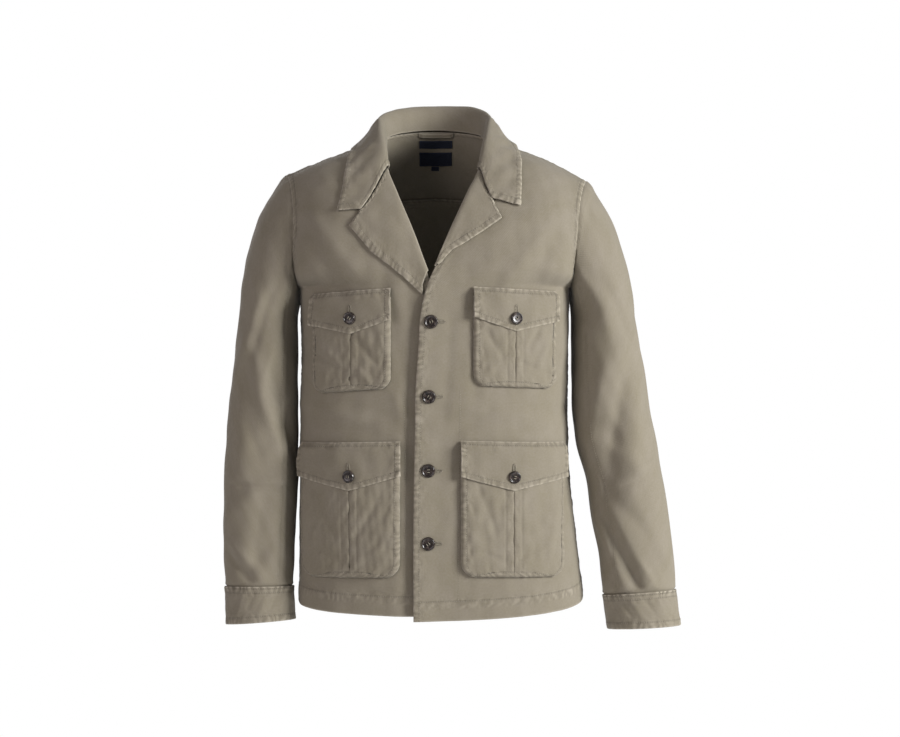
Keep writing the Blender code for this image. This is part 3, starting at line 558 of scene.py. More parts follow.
def washed_drill(name, colour, worn, dark, painted_shade_colour):
    """Cotton drill, piece-dyed and garment-washed: matt, faintly mottled, paler where edges have rubbed.
    The pale colour is also a painted highlight on the ridges of puckered seams, and a painted shade darkens
    their hollows, the sunk stitch lines and pressed folds.

    The real twill line is 0.8 mm; it is drawn at 1.6 mm so that it can show at all.
    """
    drill = bpy.data.materials.new(name)
    drill.use_nodes = True
    shader = drill.node_tree.nodes["Principled BSDF"]
    shader.inputs["Roughness"].default_value = 0.88
    shader.inputs["Specular IOR Level"].default_value = 0.25
    shader.inputs["Sheen Weight"].default_value = 0.12
    shader.inputs["Sheen Roughness"].default_value = 0.5
    cut = {"Vector": (node(drill, "UVMap", {"uv_map": "cut"}, {}), "UV")}
    titles = ("edge", "seam", "rope")
    marks = [node(drill, "Attribute", {"attribute_name": title}, {}) for title in titles]
    edge, seam, rope = [(mark, "Fac") for mark in marks]
    patches = node(drill, "TexNoise", {"Scale": 22.0, "Detail": 4.0, "Roughness": 0.6}, cut)
    mottle = node(drill, "TexNoise", {"Scale": 330.0, "Detail": 3.0, "Roughness": 0.7}, cut)
    dye = node(drill, "Math", {"operation": "ADD"}, {0: (patches, "Fac"), 1: (mottle, "Fac")})
    dyed = node(drill, "MapRange", {"From Min": 0.7, "From Max": 1.3}, {"Value": (dye, "Value")})
    rubbed = node(drill, "MapRange", {"From Min": 2.6, "From Max": 0.2}, {"Value": edge})
    # Painted highlight: the ridges of seam puckers are lightened to the worn colour, along with the real rubbing
    # of edges.
    crest_highlight = node(drill, "Math", {"operation": "MULTIPLY", 1: ROPE_PAINTED_LIGHT}, {0: rope})
    wear_and_highlight = node(drill, "Math", {"operation": "MULTIPLY_ADD", 1: 0.42, "use_clamp": True},
                {0: (rubbed, "Result"), 2: (crest_highlight, "Value")})
    # Painted shade: hollows of seam puckers, sunk stitch lines and pressed folds are darkened to the shade
    # colour.
    trough_shade = node(drill, "Math", {"operation": "MULTIPLY", 1: -ROPE_PAINTED_LIGHT, "use_clamp": True}, {0: rope})
    stitch_groove_shade = node(drill, "MapRange", {"From Min": 1.6, "From Max": 0.2, "To Max": 0.4}, {"Value": seam})
    sunk = node(drill, "Math", {"operation": "ADD", "use_clamp": True},
                {0: (trough_shade, "Value"), 1: (stitch_groove_shade, "Result")})
    tint = blend(drill, (dyed, "Result"), dark, colour)
    worn_and_highlit_tint = blend(drill, (wear_and_highlight, "Value"), tint, worn)
    mix, output = blend(drill, (sunk, "Value"), worn_and_highlit_tint, painted_shade_colour)
    drill.node_tree.links.new(mix.outputs[output], shader.inputs["Base Color"])
    twill = node(drill, "TexWave", {"wave_type": "BANDS", "bands_direction": "DIAGONAL", "Scale": 277.0,
                                              "Distortion": 1.2, "Detail": 1.0}, cut)
    puckers = node(drill, "TexNoise", {"Scale": 170.0, "Detail": 3.0, "Roughness": 0.55}, cut)
    near_seam = node(drill, "MapRange", {"From Min": 12.0, "From Max": 0.0, "To Min": 0.16, "To Max": 1.0},
                     {"Value": seam})
    puckered = node(drill, "Math", {"operation": "MULTIPLY"}, {0: (puckers, "Fac"), 1: (near_seam, "Result")})
    lines = node(drill, "Math", {"operation": "MULTIPLY_ADD", 1: 0.07},
                 {0: (twill, "Fac"), 2: (puckered, "Value")})
    bump = node(drill, "Bump", {"Strength": 0.75, "Distance": 0.0016}, {"Height": (lines, "Value")})
    drill.node_tree.links.new(bump.outputs["Normal"], shader.inputs["Normal"])
    return drill


# Colours: cloth; rubbed edges, also the painted highlight on pucker ridges; dye mottle; painted shade.
drill = washed_drill("washed_cotton_drill", "#817a6d", "#b4ac9c", "#77705f", "#4f4a40")


TURNED_IN = 10.0
ROPE_PITCH = 9.5
ROPE_DRIFT_PITCH = 24.0
ROPE_STRENGTH_PITCH = 45.0
PUCKER_PITCH = 11.0
PUCKER_REACH = 8.0
STITCH_SINKS = 0.35
FAR_FROM_SEAM = 40.0


def cloth(name, grid, thickness, inside, node_name, seams=(), pucker=0.5, outward=False, tube=False, judged=0,
          finish=drill, pressed=None):
    """One cut piece of cloth, from a grid of points: a thin shell with its seams pressed in and puckered.

    Each seam is (border, inset, rise): between the border and the stitch line the doubled cloth stands higher.
    Pressed is the distance from a folded line, which is darkened there as painted shade. Inside lies within the
    jacket. An outward piece has its thickness outside the grid, and the points that come back lie on its outer
    face.
    """
    reach = border_distances(grid)
    normals, sense = outward_normals(grid, inside, tube, judged)
    borders = ("foot", "head") if tube else ("first", "last", "foot", "head")
    edge = np.min([reach[border] for border in borders], axis=0)
    seam = np.full(edge.shape, FAR_FROM_SEAM)
    height = 0.0 * edge
    roped = 0.0 * edge
    uneven = 2.6 * waves(grid, ROPE_DRIFT_PITCH, 22)
    stronger = 0.35 + 0.65 * np.clip(0.6 + 0.7 * waves(grid, ROPE_STRENGTH_PITCH, 23), 0, 1)
    for border, inset, rise in seams:
        past = reach[border] - inset
        seam = np.minimum(seam, np.abs(past))
        run = reach["foot" if border in ("first", "last") else "first"]
        band = step((4.0 - past) / 5.0) * step((past + 13.0) / 5.0)
        roped = roped + (rise + 0.25) * band * stronger * np.sin(run * 2 * math.pi / ROPE_PITCH + uneven)
        height = height + rise * step((2.0 - past) / 2.5) * step(reach[border] / 1.5)
        height = height - STITCH_SINKS * np.exp(-(past / 1.3) ** 2)
    # A pressed fold joins the seams in the distance that the material darkens as painted shade.
    if pressed is not None:
        seam = np.minimum(seam, pressed)
    fine = 0.7 * waves(grid, PUCKER_PITCH, 21) * np.exp(-(seam / PUCKER_REACH) ** 2)
    height = height + pucker * (fine + 0.75 * roped)
    points = grid + normals * height[..., None]
    quads = grid_faces(*edge.shape, tube)[1]
    if sense < 0:
        quads = quads[:, ::-1]
    mesh = bpy.data.meshes.new(name)
    mesh.from_pydata((points.reshape(-1, 3) * MM).tolist(), [], quads.tolist())
    for title, values in (("edge", edge), ("seam", seam), ("rope", roped)):
        mesh.attributes.new(title, "FLOAT", "POINT").data.foreach_set("value", values.ravel())
    corner = np.zeros(len(mesh.loops), dtype=np.int32)
    mesh.loops.foreach_get("vertex_index", corner)
    flat = np.stack((reach["first"], reach["foot"]), axis=-1).reshape(-1, 2) * MM
    mesh.uv_layers.new(name="cut").data.foreach_set("uv", flat[corner].ravel())
    piece = add_piece(name, mesh, finish, node_name)
    thick = piece.modifiers.new("Thickness", "SOLIDIFY")
    thick.thickness = thickness * MM
    thick.offset = 1.0 if outward else -1.0
    wide = float(np.max(reach["first"][:, -1]))
    if tube:
        wide = wide + float(np.max(np.linalg.norm(grid[:, 0] - grid[:, -1], axis=-1)))
    long = max(float(np.max(reach["foot"][-1])), TURNED_IN)
    closed = np.concatenate((points, points[:, :1]), axis=1) if tube else points
    one = np.cross(closed[1:, :-1] - closed[:-1, :-1], closed[:-1, 1:] - closed[:-1, :-1])
    two = np.cross(closed[1:, :-1] - closed[1:, 1:], closed[:-1, 1:] - closed[1:, 1:])
    area = float(np.sum(np.linalg.norm(one, axis=-1) + np.linalg.norm(two, axis=-1)) / 2)
    area = min(area, wide * long)
    face = points + normals * thickness if outward else points
    return {"points": face, "normals": normals, "reach": border_distances(points)}


def kept(line, keep):
    """The part of a line, points and normals, that a condition or a slice picks."""
    return line[0][keep], line[1][keep]


def inset_line(made, border, inset, trim=(0.0, 0.0)):
    """Points and normals of the line that runs at one distance in from a border of a piece."""
    reach = made["reach"][border]
    other = made["reach"]["foot" if border in ("first", "last") else "first"]
    arrays = [reach, other, made["points"], made["normals"]]
    if border in ("foot", "head"):
        arrays = [np.swapaxes(array, 0, 1) for array in arrays]
    if border in ("last", "head"):
        arrays = [array[:, ::-1] for array in arrays]
    reach, other, points, normals = arrays
    index = np.clip(np.argmax(reach >= inset, axis=1), 1, None)
    row = np.arange(len(reach))
    low = reach[row, index - 1]
    share = np.clip((inset - low) / np.maximum(reach[row, index] - low, 1e-6), 0, 1)[:, None]
    line = points[row, index - 1] * (1 - share) + points[row, index] * share
    square = normals[row, index]
    along = other[row, index]
    return kept((line, square), (along >= trim[0]) & (along <= along[-1] - trim[1]))


THREAD_LONG = 2.3
THREAD_PITCH = 3.5
THREAD_WIDE = 0.75
THREAD_THICK = 0.28
HALF_STITCH = 0.6
cotton_thread = bpy.data.materials.new("spun_cotton_thread")
cotton_thread.use_nodes = True
thread_shader = cotton_thread.node_tree.nodes["Principled BSDF"]
thread_shader.inputs["Roughness"].default_value = 0.7
thread_place = node(cotton_thread, "TexCoord", {}, {})
thread_speck = node(cotton_thread, "TexNoise", {"Scale": 500.0}, {"Vector": (thread_place, "Object")})
thread_tint, output = blend(cotton_thread, (thread_speck, "Fac"), "#7c7566", "#938c7d")
cotton_thread.node_tree.links.new(thread_tint.outputs[output], thread_shader.inputs["Base Color"])


def read_off(at, run, values):
    """Rows of three values at distances along a line."""
    return np.stack([np.interp(at, run, values[:, k]) for k in range(3)], axis=-1)


def stitching(name, lines, pitch=THREAD_PITCH, long=THREAD_LONG, wide=THREAD_WIDE, thick=THREAD_THICK,
              crosswise=False):
    """Rows of stitches as one mesh: a small eight-sided spindle at each pitch along every line."""
    ring = np.array(((1, 0), (0, 1), (-1, 0), (0, -1)), float)
    shape = [(-0.5, 0.0, 0.0), (0.5, 0.0, 0.0)]
    shape += [(x, o * 0.5, u) for x in (-0.3, 0.3) for o, u in ring]
    shape = np.array(shape)
    faces = [(0, 2 + (i + 1) % 4, 2 + i) for i in range(4)]
    faces += [(1, 6 + i, 6 + (i + 1) % 4) for i in range(4)]
    quads = [(2 + i, 2 + (i + 1) % 4, 6 + (i + 1) % 4, 6 + i) for i in range(4)]
    faces += [(a, b, c) for a, b, c, d in quads] + [(a, c, d) for a, b, c, d in quads]
    faces = np.array(faces)
    all_points = []
    for line, square in lines:
        run = np.concatenate(((0.0,), np.cumsum(np.linalg.norm(np.diff(line, axis=0), axis=1))))
        at = np.arange(pitch / 2, run[-1] - pitch / 2, pitch)
        up = unit(read_off(at, run, square))
        along = unit(read_off(at + HALF_STITCH, run, line) - read_off(at - HALF_STITCH, run, line))
        over = unit(np.cross(up, along))
        if crosswise:
            along, over = over, -along
        centre = read_off(at, run, line) + up * thick * 0.35
        spread = shape[None, :, :] * np.array((long, wide, thick))
        stitches = centre[:, None, :] + along[:, None, :] * spread[..., :1]
        stitches = stitches + over[:, None, :] * spread[..., 1:2] + up[:, None, :] * spread[..., 2:]
        all_points.append(stitches)
    points = np.concatenate(all_points)
    number = (np.arange(len(points)) * len(shape))[:, None, None]
    mesh = bpy.data.meshes.new(name)
    mesh.from_pydata((points.reshape(-1, 3) * MM).tolist(), [], (faces[None] + number).reshape(-1, 3).tolist())
    add_piece(name, mesh, cotton_thread)


HEM_INSET = 28.0
EDGE_INSET = 8.0
FACING_INSET = 65.0
FACING_TOP = -357.0
EDGE_ROW_TOP = -196.0
ARM_INSETS = (5.0, 10.0)
ARM_RIDGE = 7.0
SHOULDER_INSET = 5.0
FRONT_LONG = 676.0
BELOW_ARM = 460.0
INSIDE_BODY = (0, 0, -400)
for side, name in ((LEFT, "front_left"), (RIGHT, "front_right")):
    across = places(1.0, 0.05, 0.0052, 0.0115) * (1.0 - SIDE_GAP)
    height = places(FRONT_LONG, 34.0, 1.6, 2.9)
    past_arm = (height - BELOW_ARM) / (FRONT_LONG - BELOW_ARM)
    up = np.where(height < BELOW_ARM, height / BELOW_ARM, 1.0 + past_arm * (1.0 - TOP_GAP))
    across, up = np.broadcast_arrays(across[None, :], up[:, None])
    grid = front_surface(side, across, up, 0.0 * up)
    made = cloth(name + "_cloth", grid, CLOTH, INSIDE_BODY, name,
                 seams=(("first", EDGE_INSET, 0.5), ("foot", HEM_INSET, 0.5), ("last", ARM_RIDGE, 0.5),
                        ("head", SHOULDER_INSET, 0.3)))
    lines = [inset_line(made, "foot", HEM_INSET, (EDGE_INSET, 3.0)),
             inset_line(made, "head", SHOULDER_INSET, (2.0, 2.0))]
    side_rows = made["points"][:, -1, 2] > ARMPIT_Z
    lines += [kept(inset_line(made, "last", inset), side_rows) for inset in ARM_INSETS]
    for inset, trim, top in ((EDGE_INSET, 1.5, EDGE_ROW_TOP), (FACING_INSET, HEM_INSET, FACING_TOP)):
        line = inset_line(made, "first", inset, (trim, 0.0))
        lines.append(kept(line, line[0][:, 2] < top))
    stitching(name + "_stitches", lines)


# Back: one plain panel and a yoke above it, joined by a lapped seam with two rows of stitches.
# Both are the same drill as the fronts; only the yoke's inner face shows in the neck.
BACK_NECK = (0.0, 74.0, 38.0)
NECK_SHARE = 0.4
YOKE_UP = 1.565
YOKE_RISE = 0.135
YOKE_GAP = 0.0008

CENTRE_BACK = table(
    "t y z",
    (0.00, 124, -208),
    (0.25, 125, -146),
    (0.50, 117, -85),
    (0.75, 99, -23),
    (1.00, 74, 38),
)


def back_top(side, across):
    """Top edge of the back: a quarter oval round the neck, then the shoulder seam."""
    neck = mirrored(side, NECK[side])
    shoulder = mirrored(side, SHOULDER[side])
    quarter = math.pi / 2 * np.clip(across / NECK_SHARE, 0, 1)
    rise = np.cos(quarter)
    round_neck = triple(
        neck[0] * np.sin(quarter),
        neck[1] + (BACK_NECK[1] - neck[1]) * rise,
        neck[2] + (BACK_NECK[2] - neck[2]) * rise,
    )
    share = np.clip((across - NECK_SHARE) / (1 - NECK_SHARE), 0, None)
    bow = triple(0, 0, SHOULDER_BOW[side] * np.sin(math.pi * np.clip(share, 0, 1)))
    seam = between(neck, shoulder, share) + bow
    return np.where((across < NECK_SHARE)[..., None], round_neck, seam)


def back_half(side, across, up):
    """Outer face of one half of the back, from its centre (0) to the side seam or armhole (1)."""
    low = np.clip(up, 0.0, 1.0)
    t = np.clip(up - 1.0, 0.0, None)
    hem = hem_height(side, BACK, across)
    z = hem + (ARMPIT_Z - hem) * low
    lower = body_ring(side, BACK, math.pi / 2 * (1 - across), z)
    inner_low = body_ring(side, BACK, math.pi / 2, ARMPIT_Z)
    outer_low = body_ring(side, BACK, 0.0, ARMPIT_Z)
    shoulder = mirrored(side, SHOULDER[side])
    corners = (inner_low, outer_low, np.array(BACK_NECK), shoulder)
    centre = triple(0, *columns(CENTRE_BACK, "t", "y z", t))
    inner_bow = centre - between(inner_low, BACK_NECK, t)
    arm_bow = armhole(side, BACK, t) - between(outer_low, shoulder, t)
    low_bow = lower - between(inner_low, outer_low, across)
    top_bow = back_top(side, across) - between(BACK_NECK, shoulder, across)
    upper = patch(across, t, corners, low_bow, inner_bow, arm_bow, top_bow) + crown(BACK, across, t)
    return np.where((up > 1.0)[..., None], upper, lower)


def back_point(across, up):
    """Outer face of the whole back, across from the wearer's right (-1) to the left (1)."""
    across, up = np.broadcast_arrays(np.asarray(across, float), np.asarray(up, float))
    right = back_half(RIGHT, np.abs(across), up)
    left = back_half(LEFT, np.abs(across), up)
    return np.where((across < 0)[..., None], right, left)


def back_normal(across, up):
    """Direction out of the back's outer face."""
    small = 0.004
    sideways = back_point(across + small, up) - back_point(across - small, up)
    upwards = back_point(across, up + small) - back_point(across, up - small)
    return -unit(np.cross(sideways, upwards))


BACK_FOLDS = table(
    "x z slant long wide high",
    (-150, -190, -60, 80, 13, -2.6),
    (-122, -168, -54, 70, 12, 2.0),
    (148, -196, 58, 80, 13, -2.4),
    (120, -172, 52, 70, 12, 2.0),
    (0, -250, 4, 90, 14, -1.5),
    (-60, -350, 12, 100, 13, 2.0),
    (70, -372, -10, 100, 13, -2.2),
    (-90, -430, -16, 90, 12, -2.0),
    (40, -452, 14, 90, 12, 1.9),
    (-150, -330, 70, 80, 11, 1.8),
    (155, -345, -72, 80, 11, 1.8),
    (-100, -560, 84, 90, 12, 1.8),
    (95, -550, -86, 90, 12, -1.8),
    (10, -600, 88, 80, 12, 1.6),
)


def back_surface(across, up, lift):
    """Points on the back, creased, at a height over its outer face."""
    points = back_point(across, up)
    fade = step((1 - np.abs(across)) / SEAM_FADE)
    relief = drape(points) + fade * folds(BACK_FOLDS, points[..., 0], points[..., 2])
    return points + back_normal(across, up) * (relief + lift)[..., None]


TUCKED_UP = 0.03
PANEL_BELOW_ARM = 0.78
PANEL_ABOVE_ARM = 0.22
YOKE_INSETS = (3.0, 9.0)
across = (places(2.0, 0.06, 0.007, 0.0145) - 1.0) * (1.0 - SIDE_GAP)
seam_up = YOKE_UP + YOKE_RISE * across[None, :] ** 2
share = places(1.0, 0.03, 0.003, 0.0058)[:, None]
past_arm = (share - PANEL_BELOW_ARM) / PANEL_ABOVE_ARM
up = np.where(share < PANEL_BELOW_ARM, share / PANEL_BELOW_ARM, 1.0 + past_arm * (seam_up + TUCKED_UP - 1.0))
under_yoke = -(CLOTH + 0.5) * step((up - seam_up + 0.012) / 0.012)
across_grid = across[None, :] + 0 * up
made = cloth("back_panel_cloth", back_surface(across_grid, up, under_yoke), CLOTH, INSIDE_BODY, "back_panel",
             seams=(("foot", HEM_INSET, 0.5), ("head", 3.0, 0.3), ("first", 4.0, 0.3), ("last", 4.0, 0.3)))
stitching("back_panel_stitches", [inset_line(made, "foot", HEM_INSET, (2.0, 2.0))])
share = places(1.0, 0.06, 0.012, 0.022)[:, None]
up = seam_up + YOKE_GAP + (2.0 - TOP_GAP - YOKE_GAP - seam_up) * share
yoke = cloth("back_yoke_cloth", back_surface(across[None, :] + 0 * up, up, 0.0 * up), CLOTH, (0, -60, -120),
             "back_yoke", seams=(("foot", 3.0, 0.4), ("foot", 9.0, 0.2), ("head", 5.0, 0.2)))
lines = [inset_line(yoke, "foot", inset, (3.0, 3.0)) for inset in YOKE_INSETS]
stitching("back_yoke_stitches", lines)


# Sleeves: set in, cut in two pieces, so an inseam runs down the front of the forearm.
# The cloth has set at the elbow and wrist into slanting folds, and the armhole seam is stitched on the body.
SEAM = 0.35
SLEEVE = {
    LEFT: table(
        "z centre width depth y tilt pitch",
        (-720, 313.0, 53.0, 43, -31, 5, 4),
        (-660, 304.5, 53.8, 44, -26, 8, 4),
        (-610, 301.5, 54.8, 47, -21, 6, 2),
        (-560, 293.5, 57.2, 52, -16, 2, 1),
        (-500, 285.5, 57.2, 58, -10, 0, 0),
        (-430, 271.0, 60.5, 63, -5, 0, 0),
        (-375, 263.5, 57.0, 67, -2, 0, 0),
        (-320, 259.0, 53.0, 70, 0, 0, 0),
        (-250, 253.0, 47.5, 72, 1, 0, 0),
    ),
    RIGHT: table(
        "z centre width depth y tilt pitch",
        (-712, 255.5, 50.8, 43, -31, -9, 4),
        (-650, 258.7, 50.3, 44, -26, -1, 4),
        (-600, 259.5, 52.3, 48, -21, 0, 2),
        (-520, 258.4, 54.7, 55, -13, 0, 0),
        (-450, 257.0, 54.3, 61, -6, 0, 0),
        (-375, 254.5, 50.8, 67, -2, 0, 0),
        (-320, 251.5, 47.6, 70, 0, 0, 0),
        (-250, 247.8, 43.8, 72, 1, 0, 0),
    ),
}
SLEEVE_FOLDS = {
    LEFT: table(
        "z turn slope width span depth",
        (-300, 70, -40, 22, 0.8, 2.5),
        (-425, 105, 45, 20, 0.7, -3.5),
        (-470, 70, 50, 20, 0.8, 3.0),
        (-545, 95, 70, 20, 0.7, -3.5),
        (-590, 60, 60, 20, 0.7, 2.5),
        (-450, 250, -45, 22, 0.8, -3.5),
        (-500, 290, -50, 22, 0.8, 2.5),
    ),
    RIGHT: table(
        "z turn slope width span depth",
        (-310, 75, -45, 22, 0.8, 2.5),
        (-430, 110, 40, 20, 0.7, -3.0),
        (-492, 80, 25, 18, 0.8, -3.5),
        (-530, 60, 40, 20, 0.8, 2.5),
        (-600, 100, 60, 20, 0.7, -3.0),
        (-455, 255, -45, 22, 0.8, -3.5),
        (-505, 290, -50, 22, 0.8, 2.5),
    ),
}
SLEEVE_HEAD_OUT = {LEFT: 0.58, RIGHT: 0.75}
SLEEVE_HEAD_Z = -250.0
CUFF_SEAM_Z = {LEFT: -658.0, RIGHT: -649.0}


def sleeve_fold(side, turn, z):
    """Broad slanting folds at the elbow and forearm: each a soft hill or trough."""
    total = 0.0 * turn * z
    rows = SLEEVE_FOLDS[side]
    for at_z, degrees, slope, width, span, depth in zip(*rows.values()):
        apart = turn - math.radians(degrees)
        off_line = (z - at_z - slope * apart) / width
        total = total + depth * np.exp(-off_line ** 2 - (apart / span) ** 2)
    return total


def sleeve_ring(side, turn, z):
    """Section of a sleeve: an oval. Turn is 0 outside, pi/2 in front, pi against the body."""
    centre, width, depth, y, tilt, pitch = columns(SLEEVE[side], "z", "centre width depth y tilt pitch", z)
    fold = sleeve_fold(side, turn, z)
    out = centre + (width + fold) * np.cos(turn)
    lean = tilt / 2 * np.cos(turn) + pitch * np.sin(turn)
    return triple(side * out, y - (depth + fold) * np.sin(turn), z + lean)


def sleeve_head(side, turn, share):
    """From the armhole seam (0) to the upper-arm section (1), each line one smooth cubic."""
    face = np.where(np.sin(turn) >= 0, FRONT, BACK)
    t = np.abs(np.mod(turn, 2 * math.pi) - math.pi) / math.pi
    front = armhole(side, FRONT, t)
    back = armhole(side, BACK, t)
    start = np.where((face == FRONT)[..., None], front, back) + np.array((side * 3 * SEAM, 0, 0))
    end = sleeve_ring(side, turn, SLEEVE_HEAD_Z)
    length = np.linalg.norm(end - start, axis=-1, keepdims=True)
    outward = side * (0.05 + SLEEVE_HEAD_OUT[side] * (0.5 + 0.5 * np.cos(turn)) ** 1.5)
    leave = unit(triple(outward, -0.10 * np.sin(turn), -0.8))
    arrive = unit(triple(side * 0.06 + 0 * turn, 0 * turn, -1.0))
    u = np.asarray(share)[..., None]
    first = start + leave * length / 3
    second = end - arrive * length / 3
    return start * (1 - u) ** 3 + 3 * first * u * (1 - u) ** 2 + 3 * second * u * u * (1 - u) + end * u ** 3


ARM_RADIUS = 56.0
WRIST_RADIUS = 50.0
TUCKED = 7.0
INSEAM_TURN = 132.0
SLEEVE_COLUMNS = 120
SLEEVE_CREASES = {
    LEFT: table(
        "arc z slant long wide high",
        (93, -418, -72, 92, 13, -4.4),
        (64, -430, -74, 90, 14, 2.6),
        (122, -400, -72, 80, 10, 2.4),
        (115, -596, 71, 70, 9, -3.4),
        (136, -588, 72, 60, 9, 2.2),
        (92, -600, 70, 66, 10, 2.2),
        (70, -486, -24, 30, 6, -2.0),
        (60, -474, -24, 30, 8, 1.4),
        (96, -636, 62, 26, 5, -1.8),
        (78, -628, 58, 26, 5, 1.4),
        (30, -300, 66, 60, 12, 1.8),
        (64, -250, 70, 60, 12, -2.0),
        (96, -236, 74, 50, 10, 1.8),
        (-70, -420, -30, 54, 9, -2.4),
        (-84, -455, -38, 52, 9, 2.2),
        (-60, -495, -34, 50, 9, -2.2),
        (-90, -560, -44, 46, 8, 2.0),
        (-50, -610, -40, 44, 8, -1.8),
        (-110, -330, -60, 60, 10, 1.8),
    ),
    RIGHT: table(
        "arc z slant long wide high",
        (110, -412, -70, 84, 11, 3.4),
        (136, -404, -70, 84, 11, -3.6),
        (74, -400, -76, 90, 16, -2.6),
        (88, -500, -2, 46, 3.6, -1.7),
        (88, -493, -2, 46, 5, 0.9),
        (60, -622, -41, 40, 7, -2.6),
        (72, -606, -41, 40, 8, 2.0),
        (92, -566, 84, 60, 12, -1.8),
        (120, -560, 86, 70, 12, 1.8),
        (40, -540, 80, 70, 14, 1.6),
        (84, -260, 72, 70, 12, -2.6),
        (58, -290, 70, 66, 13, 2.2),
        (108, -300, 76, 60, 10, 2.0),
        (-68, -425, -30, 54, 9, -2.4),
        (-86, -462, -36, 52, 9, 2.2),
        (-58, -500, -34, 50, 9, -2.2),
        (-92, -566, -46, 46, 8, 2.0),
        (-48, -606, -40, 44, 8, -1.8),
        (-108, -336, -60, 60, 10, 1.8),
    ),
}


def full_turn(count):
    """So many equal turns round a ring, the first of them 0."""
    return np.linspace(0.0, 2 * math.pi, count + 1)[None, :-1]


def half_turns(turn):
    """The same turns, from -pi to pi."""
    return np.mod(turn + math.pi, 2 * math.pi) - math.pi


def sleeve_relief(side, turn, points):
    """Creases over a sleeve: laid out by the distance round it from its outer side, and by height."""
    arc = half_turns(turn) * ARM_RADIUS
    seam_arc = math.radians(INSEAM_TURN) * ARM_RADIUS
    creases = folds(SLEEVE_CREASES[side], arc, points[..., 2])
    sunk = -0.9 * np.exp(-((arc - seam_arc) / 1.6) ** 2) + 0.5 * np.exp(-((arc - seam_arc - 4.0) / 3.0) ** 2)
    pulled = 0.4 * waves(points, 12.0, 5) * np.exp(-((arc - seam_arc) / 9.0) ** 2)
    return 1.35 * creases + sunk + pulled + 0.55 * waves(points, SOFT_PITCH, 12)


def creased(grid, relief, inside, tube=False, judged=0):
    """The grid, moved out along its own normals by a relief."""
    return grid + outward_normals(grid, inside, tube, judged)[0] * relief[..., None]


for side, name in ((LEFT, "left"), (RIGHT, "right")):
    turn = full_turn(SLEEVE_COLUMNS)
    head = sleeve_head(side, turn, np.linspace(0.0, 1.0, 52)[:, None])
    z = np.linspace(SLEEVE_HEAD_Z, CUFF_SEAM_Z[side] - TUCKED, 128)[1:, None]
    tucked_head = head[:1] - np.array((side, 0.0, 0.0)) * np.array((6.0, 4.0, 2.0))[:, None, None]
    grid = np.concatenate((tucked_head, head, sleeve_ring(side, turn, z + 0 * turn)))
    from_seam = border_distances(grid)["foot"] - 6.0
    under_cuff = -2.4 * step((CUFF_SEAM_Z[side] + 2.0 - z) / 2.0)
    relief = sleeve_relief(side, turn + 0 * grid[..., 0], grid) * step(from_seam / 30.0)
    relief = relief + drape(grid) * step(1 - from_seam / 60.0)
    relief = relief + 1.4 * np.exp(-((from_seam - 9.0) / 7.0) ** 2) * np.clip(np.cos(turn - 0.2), 0, 1)
    relief[-len(z):] = relief[-len(z):] * (1 - step((CUFF_SEAM_Z[side] + 8.0 - z) / 6.0)) + under_cuff
    grid = creased(grid, relief, grid.mean(axis=1, keepdims=True), tube=True)
    middle = grid.mean(axis=1, keepdims=True)
    made = cloth("sleeve_" + name + "_cloth", grid, CLOTH, middle, "sleeve_" + name, tube=True,
                 seams=(("foot", 7.5, 0.0),), pucker=0.5)
    column = round(INSEAM_TURN / 360 * SLEEVE_COLUMNS)
    inseam = [(made["points"][15:-5, column - 1], made["normals"][15:-5, column - 1])]
    stitching("sleeve_" + name + "_stitches", inseam)


# Cuffs: a plain band of two layers at each wrist, stitched above and below and puckered by the wash.
# They have no vent or button. Each stands a little proud of its sleeve, whose end is tucked in under it.
COLLAR_CLOTH = 2.2
CUFF_LIFT = 0.9
CUFF_HEM_Z = {LEFT: -710.0, RIGHT: -702.0}
CUFF_CREASES = table(
    "x z slant long wide high",
    (70, -22, 62, 16, 3.5, -1.0),
    (88, -26, 66, 18, 4, 0.9),
    (104, -24, 58, 16, 3.5, -1.0),
    (52, -28, 70, 18, 4, 0.8),
    (120, -22, 64, 16, 3.5, 0.8),
    (30, -26, -66, 16, 4, -0.7),
    (-40, -25, 70, 18, 4, -0.9),
    (-80, -24, -62, 18, 4, 0.9),
    (-110, -26, 60, 18, 4, -0.8),
)

for side, name in ((LEFT, "left"), (RIGHT, "right")):
    turn = full_turn(150)
    z = np.linspace(CUFF_HEM_Z[side], CUFF_SEAM_Z[side] - 2 * SEAM, 34)[:, None]
    band = sleeve_ring(side, turn, z + 0 * turn)
    middle = band.mean(axis=1, keepdims=True)
    arc = half_turns(turn) * WRIST_RADIUS
    creases = folds(CUFF_CREASES, arc + 0 * z, z - CUFF_SEAM_Z[side] + 0 * turn)
    fade = step((z - CUFF_HEM_Z[side]) / 10.0) * step((CUFF_SEAM_Z[side] - z) / 10.0)
    relief = creases * fade + CUFF_LIFT + 0.3 * waves(band, 20.0, 31)
    relief = relief + 0.3 * waves(band, SOFT_PITCH, 12)
    band = creased(band, relief, middle, tube=True)
    made = cloth("cuff_" + name + "_cloth", band, COLLAR_CLOTH, middle, "cuff_" + name, tube=True, pucker=0.5,
                 seams=(("foot", 9.0, 0.4), ("head", 3.0, 0.4), ("head", 9.0, 0.2)))
    lines = [inset_line(made, "foot", 9.0), inset_line(made, "head", 3.0), inset_line(made, "head", 9.0)]
    stitching("cuff_" + name + "_stitches", lines)


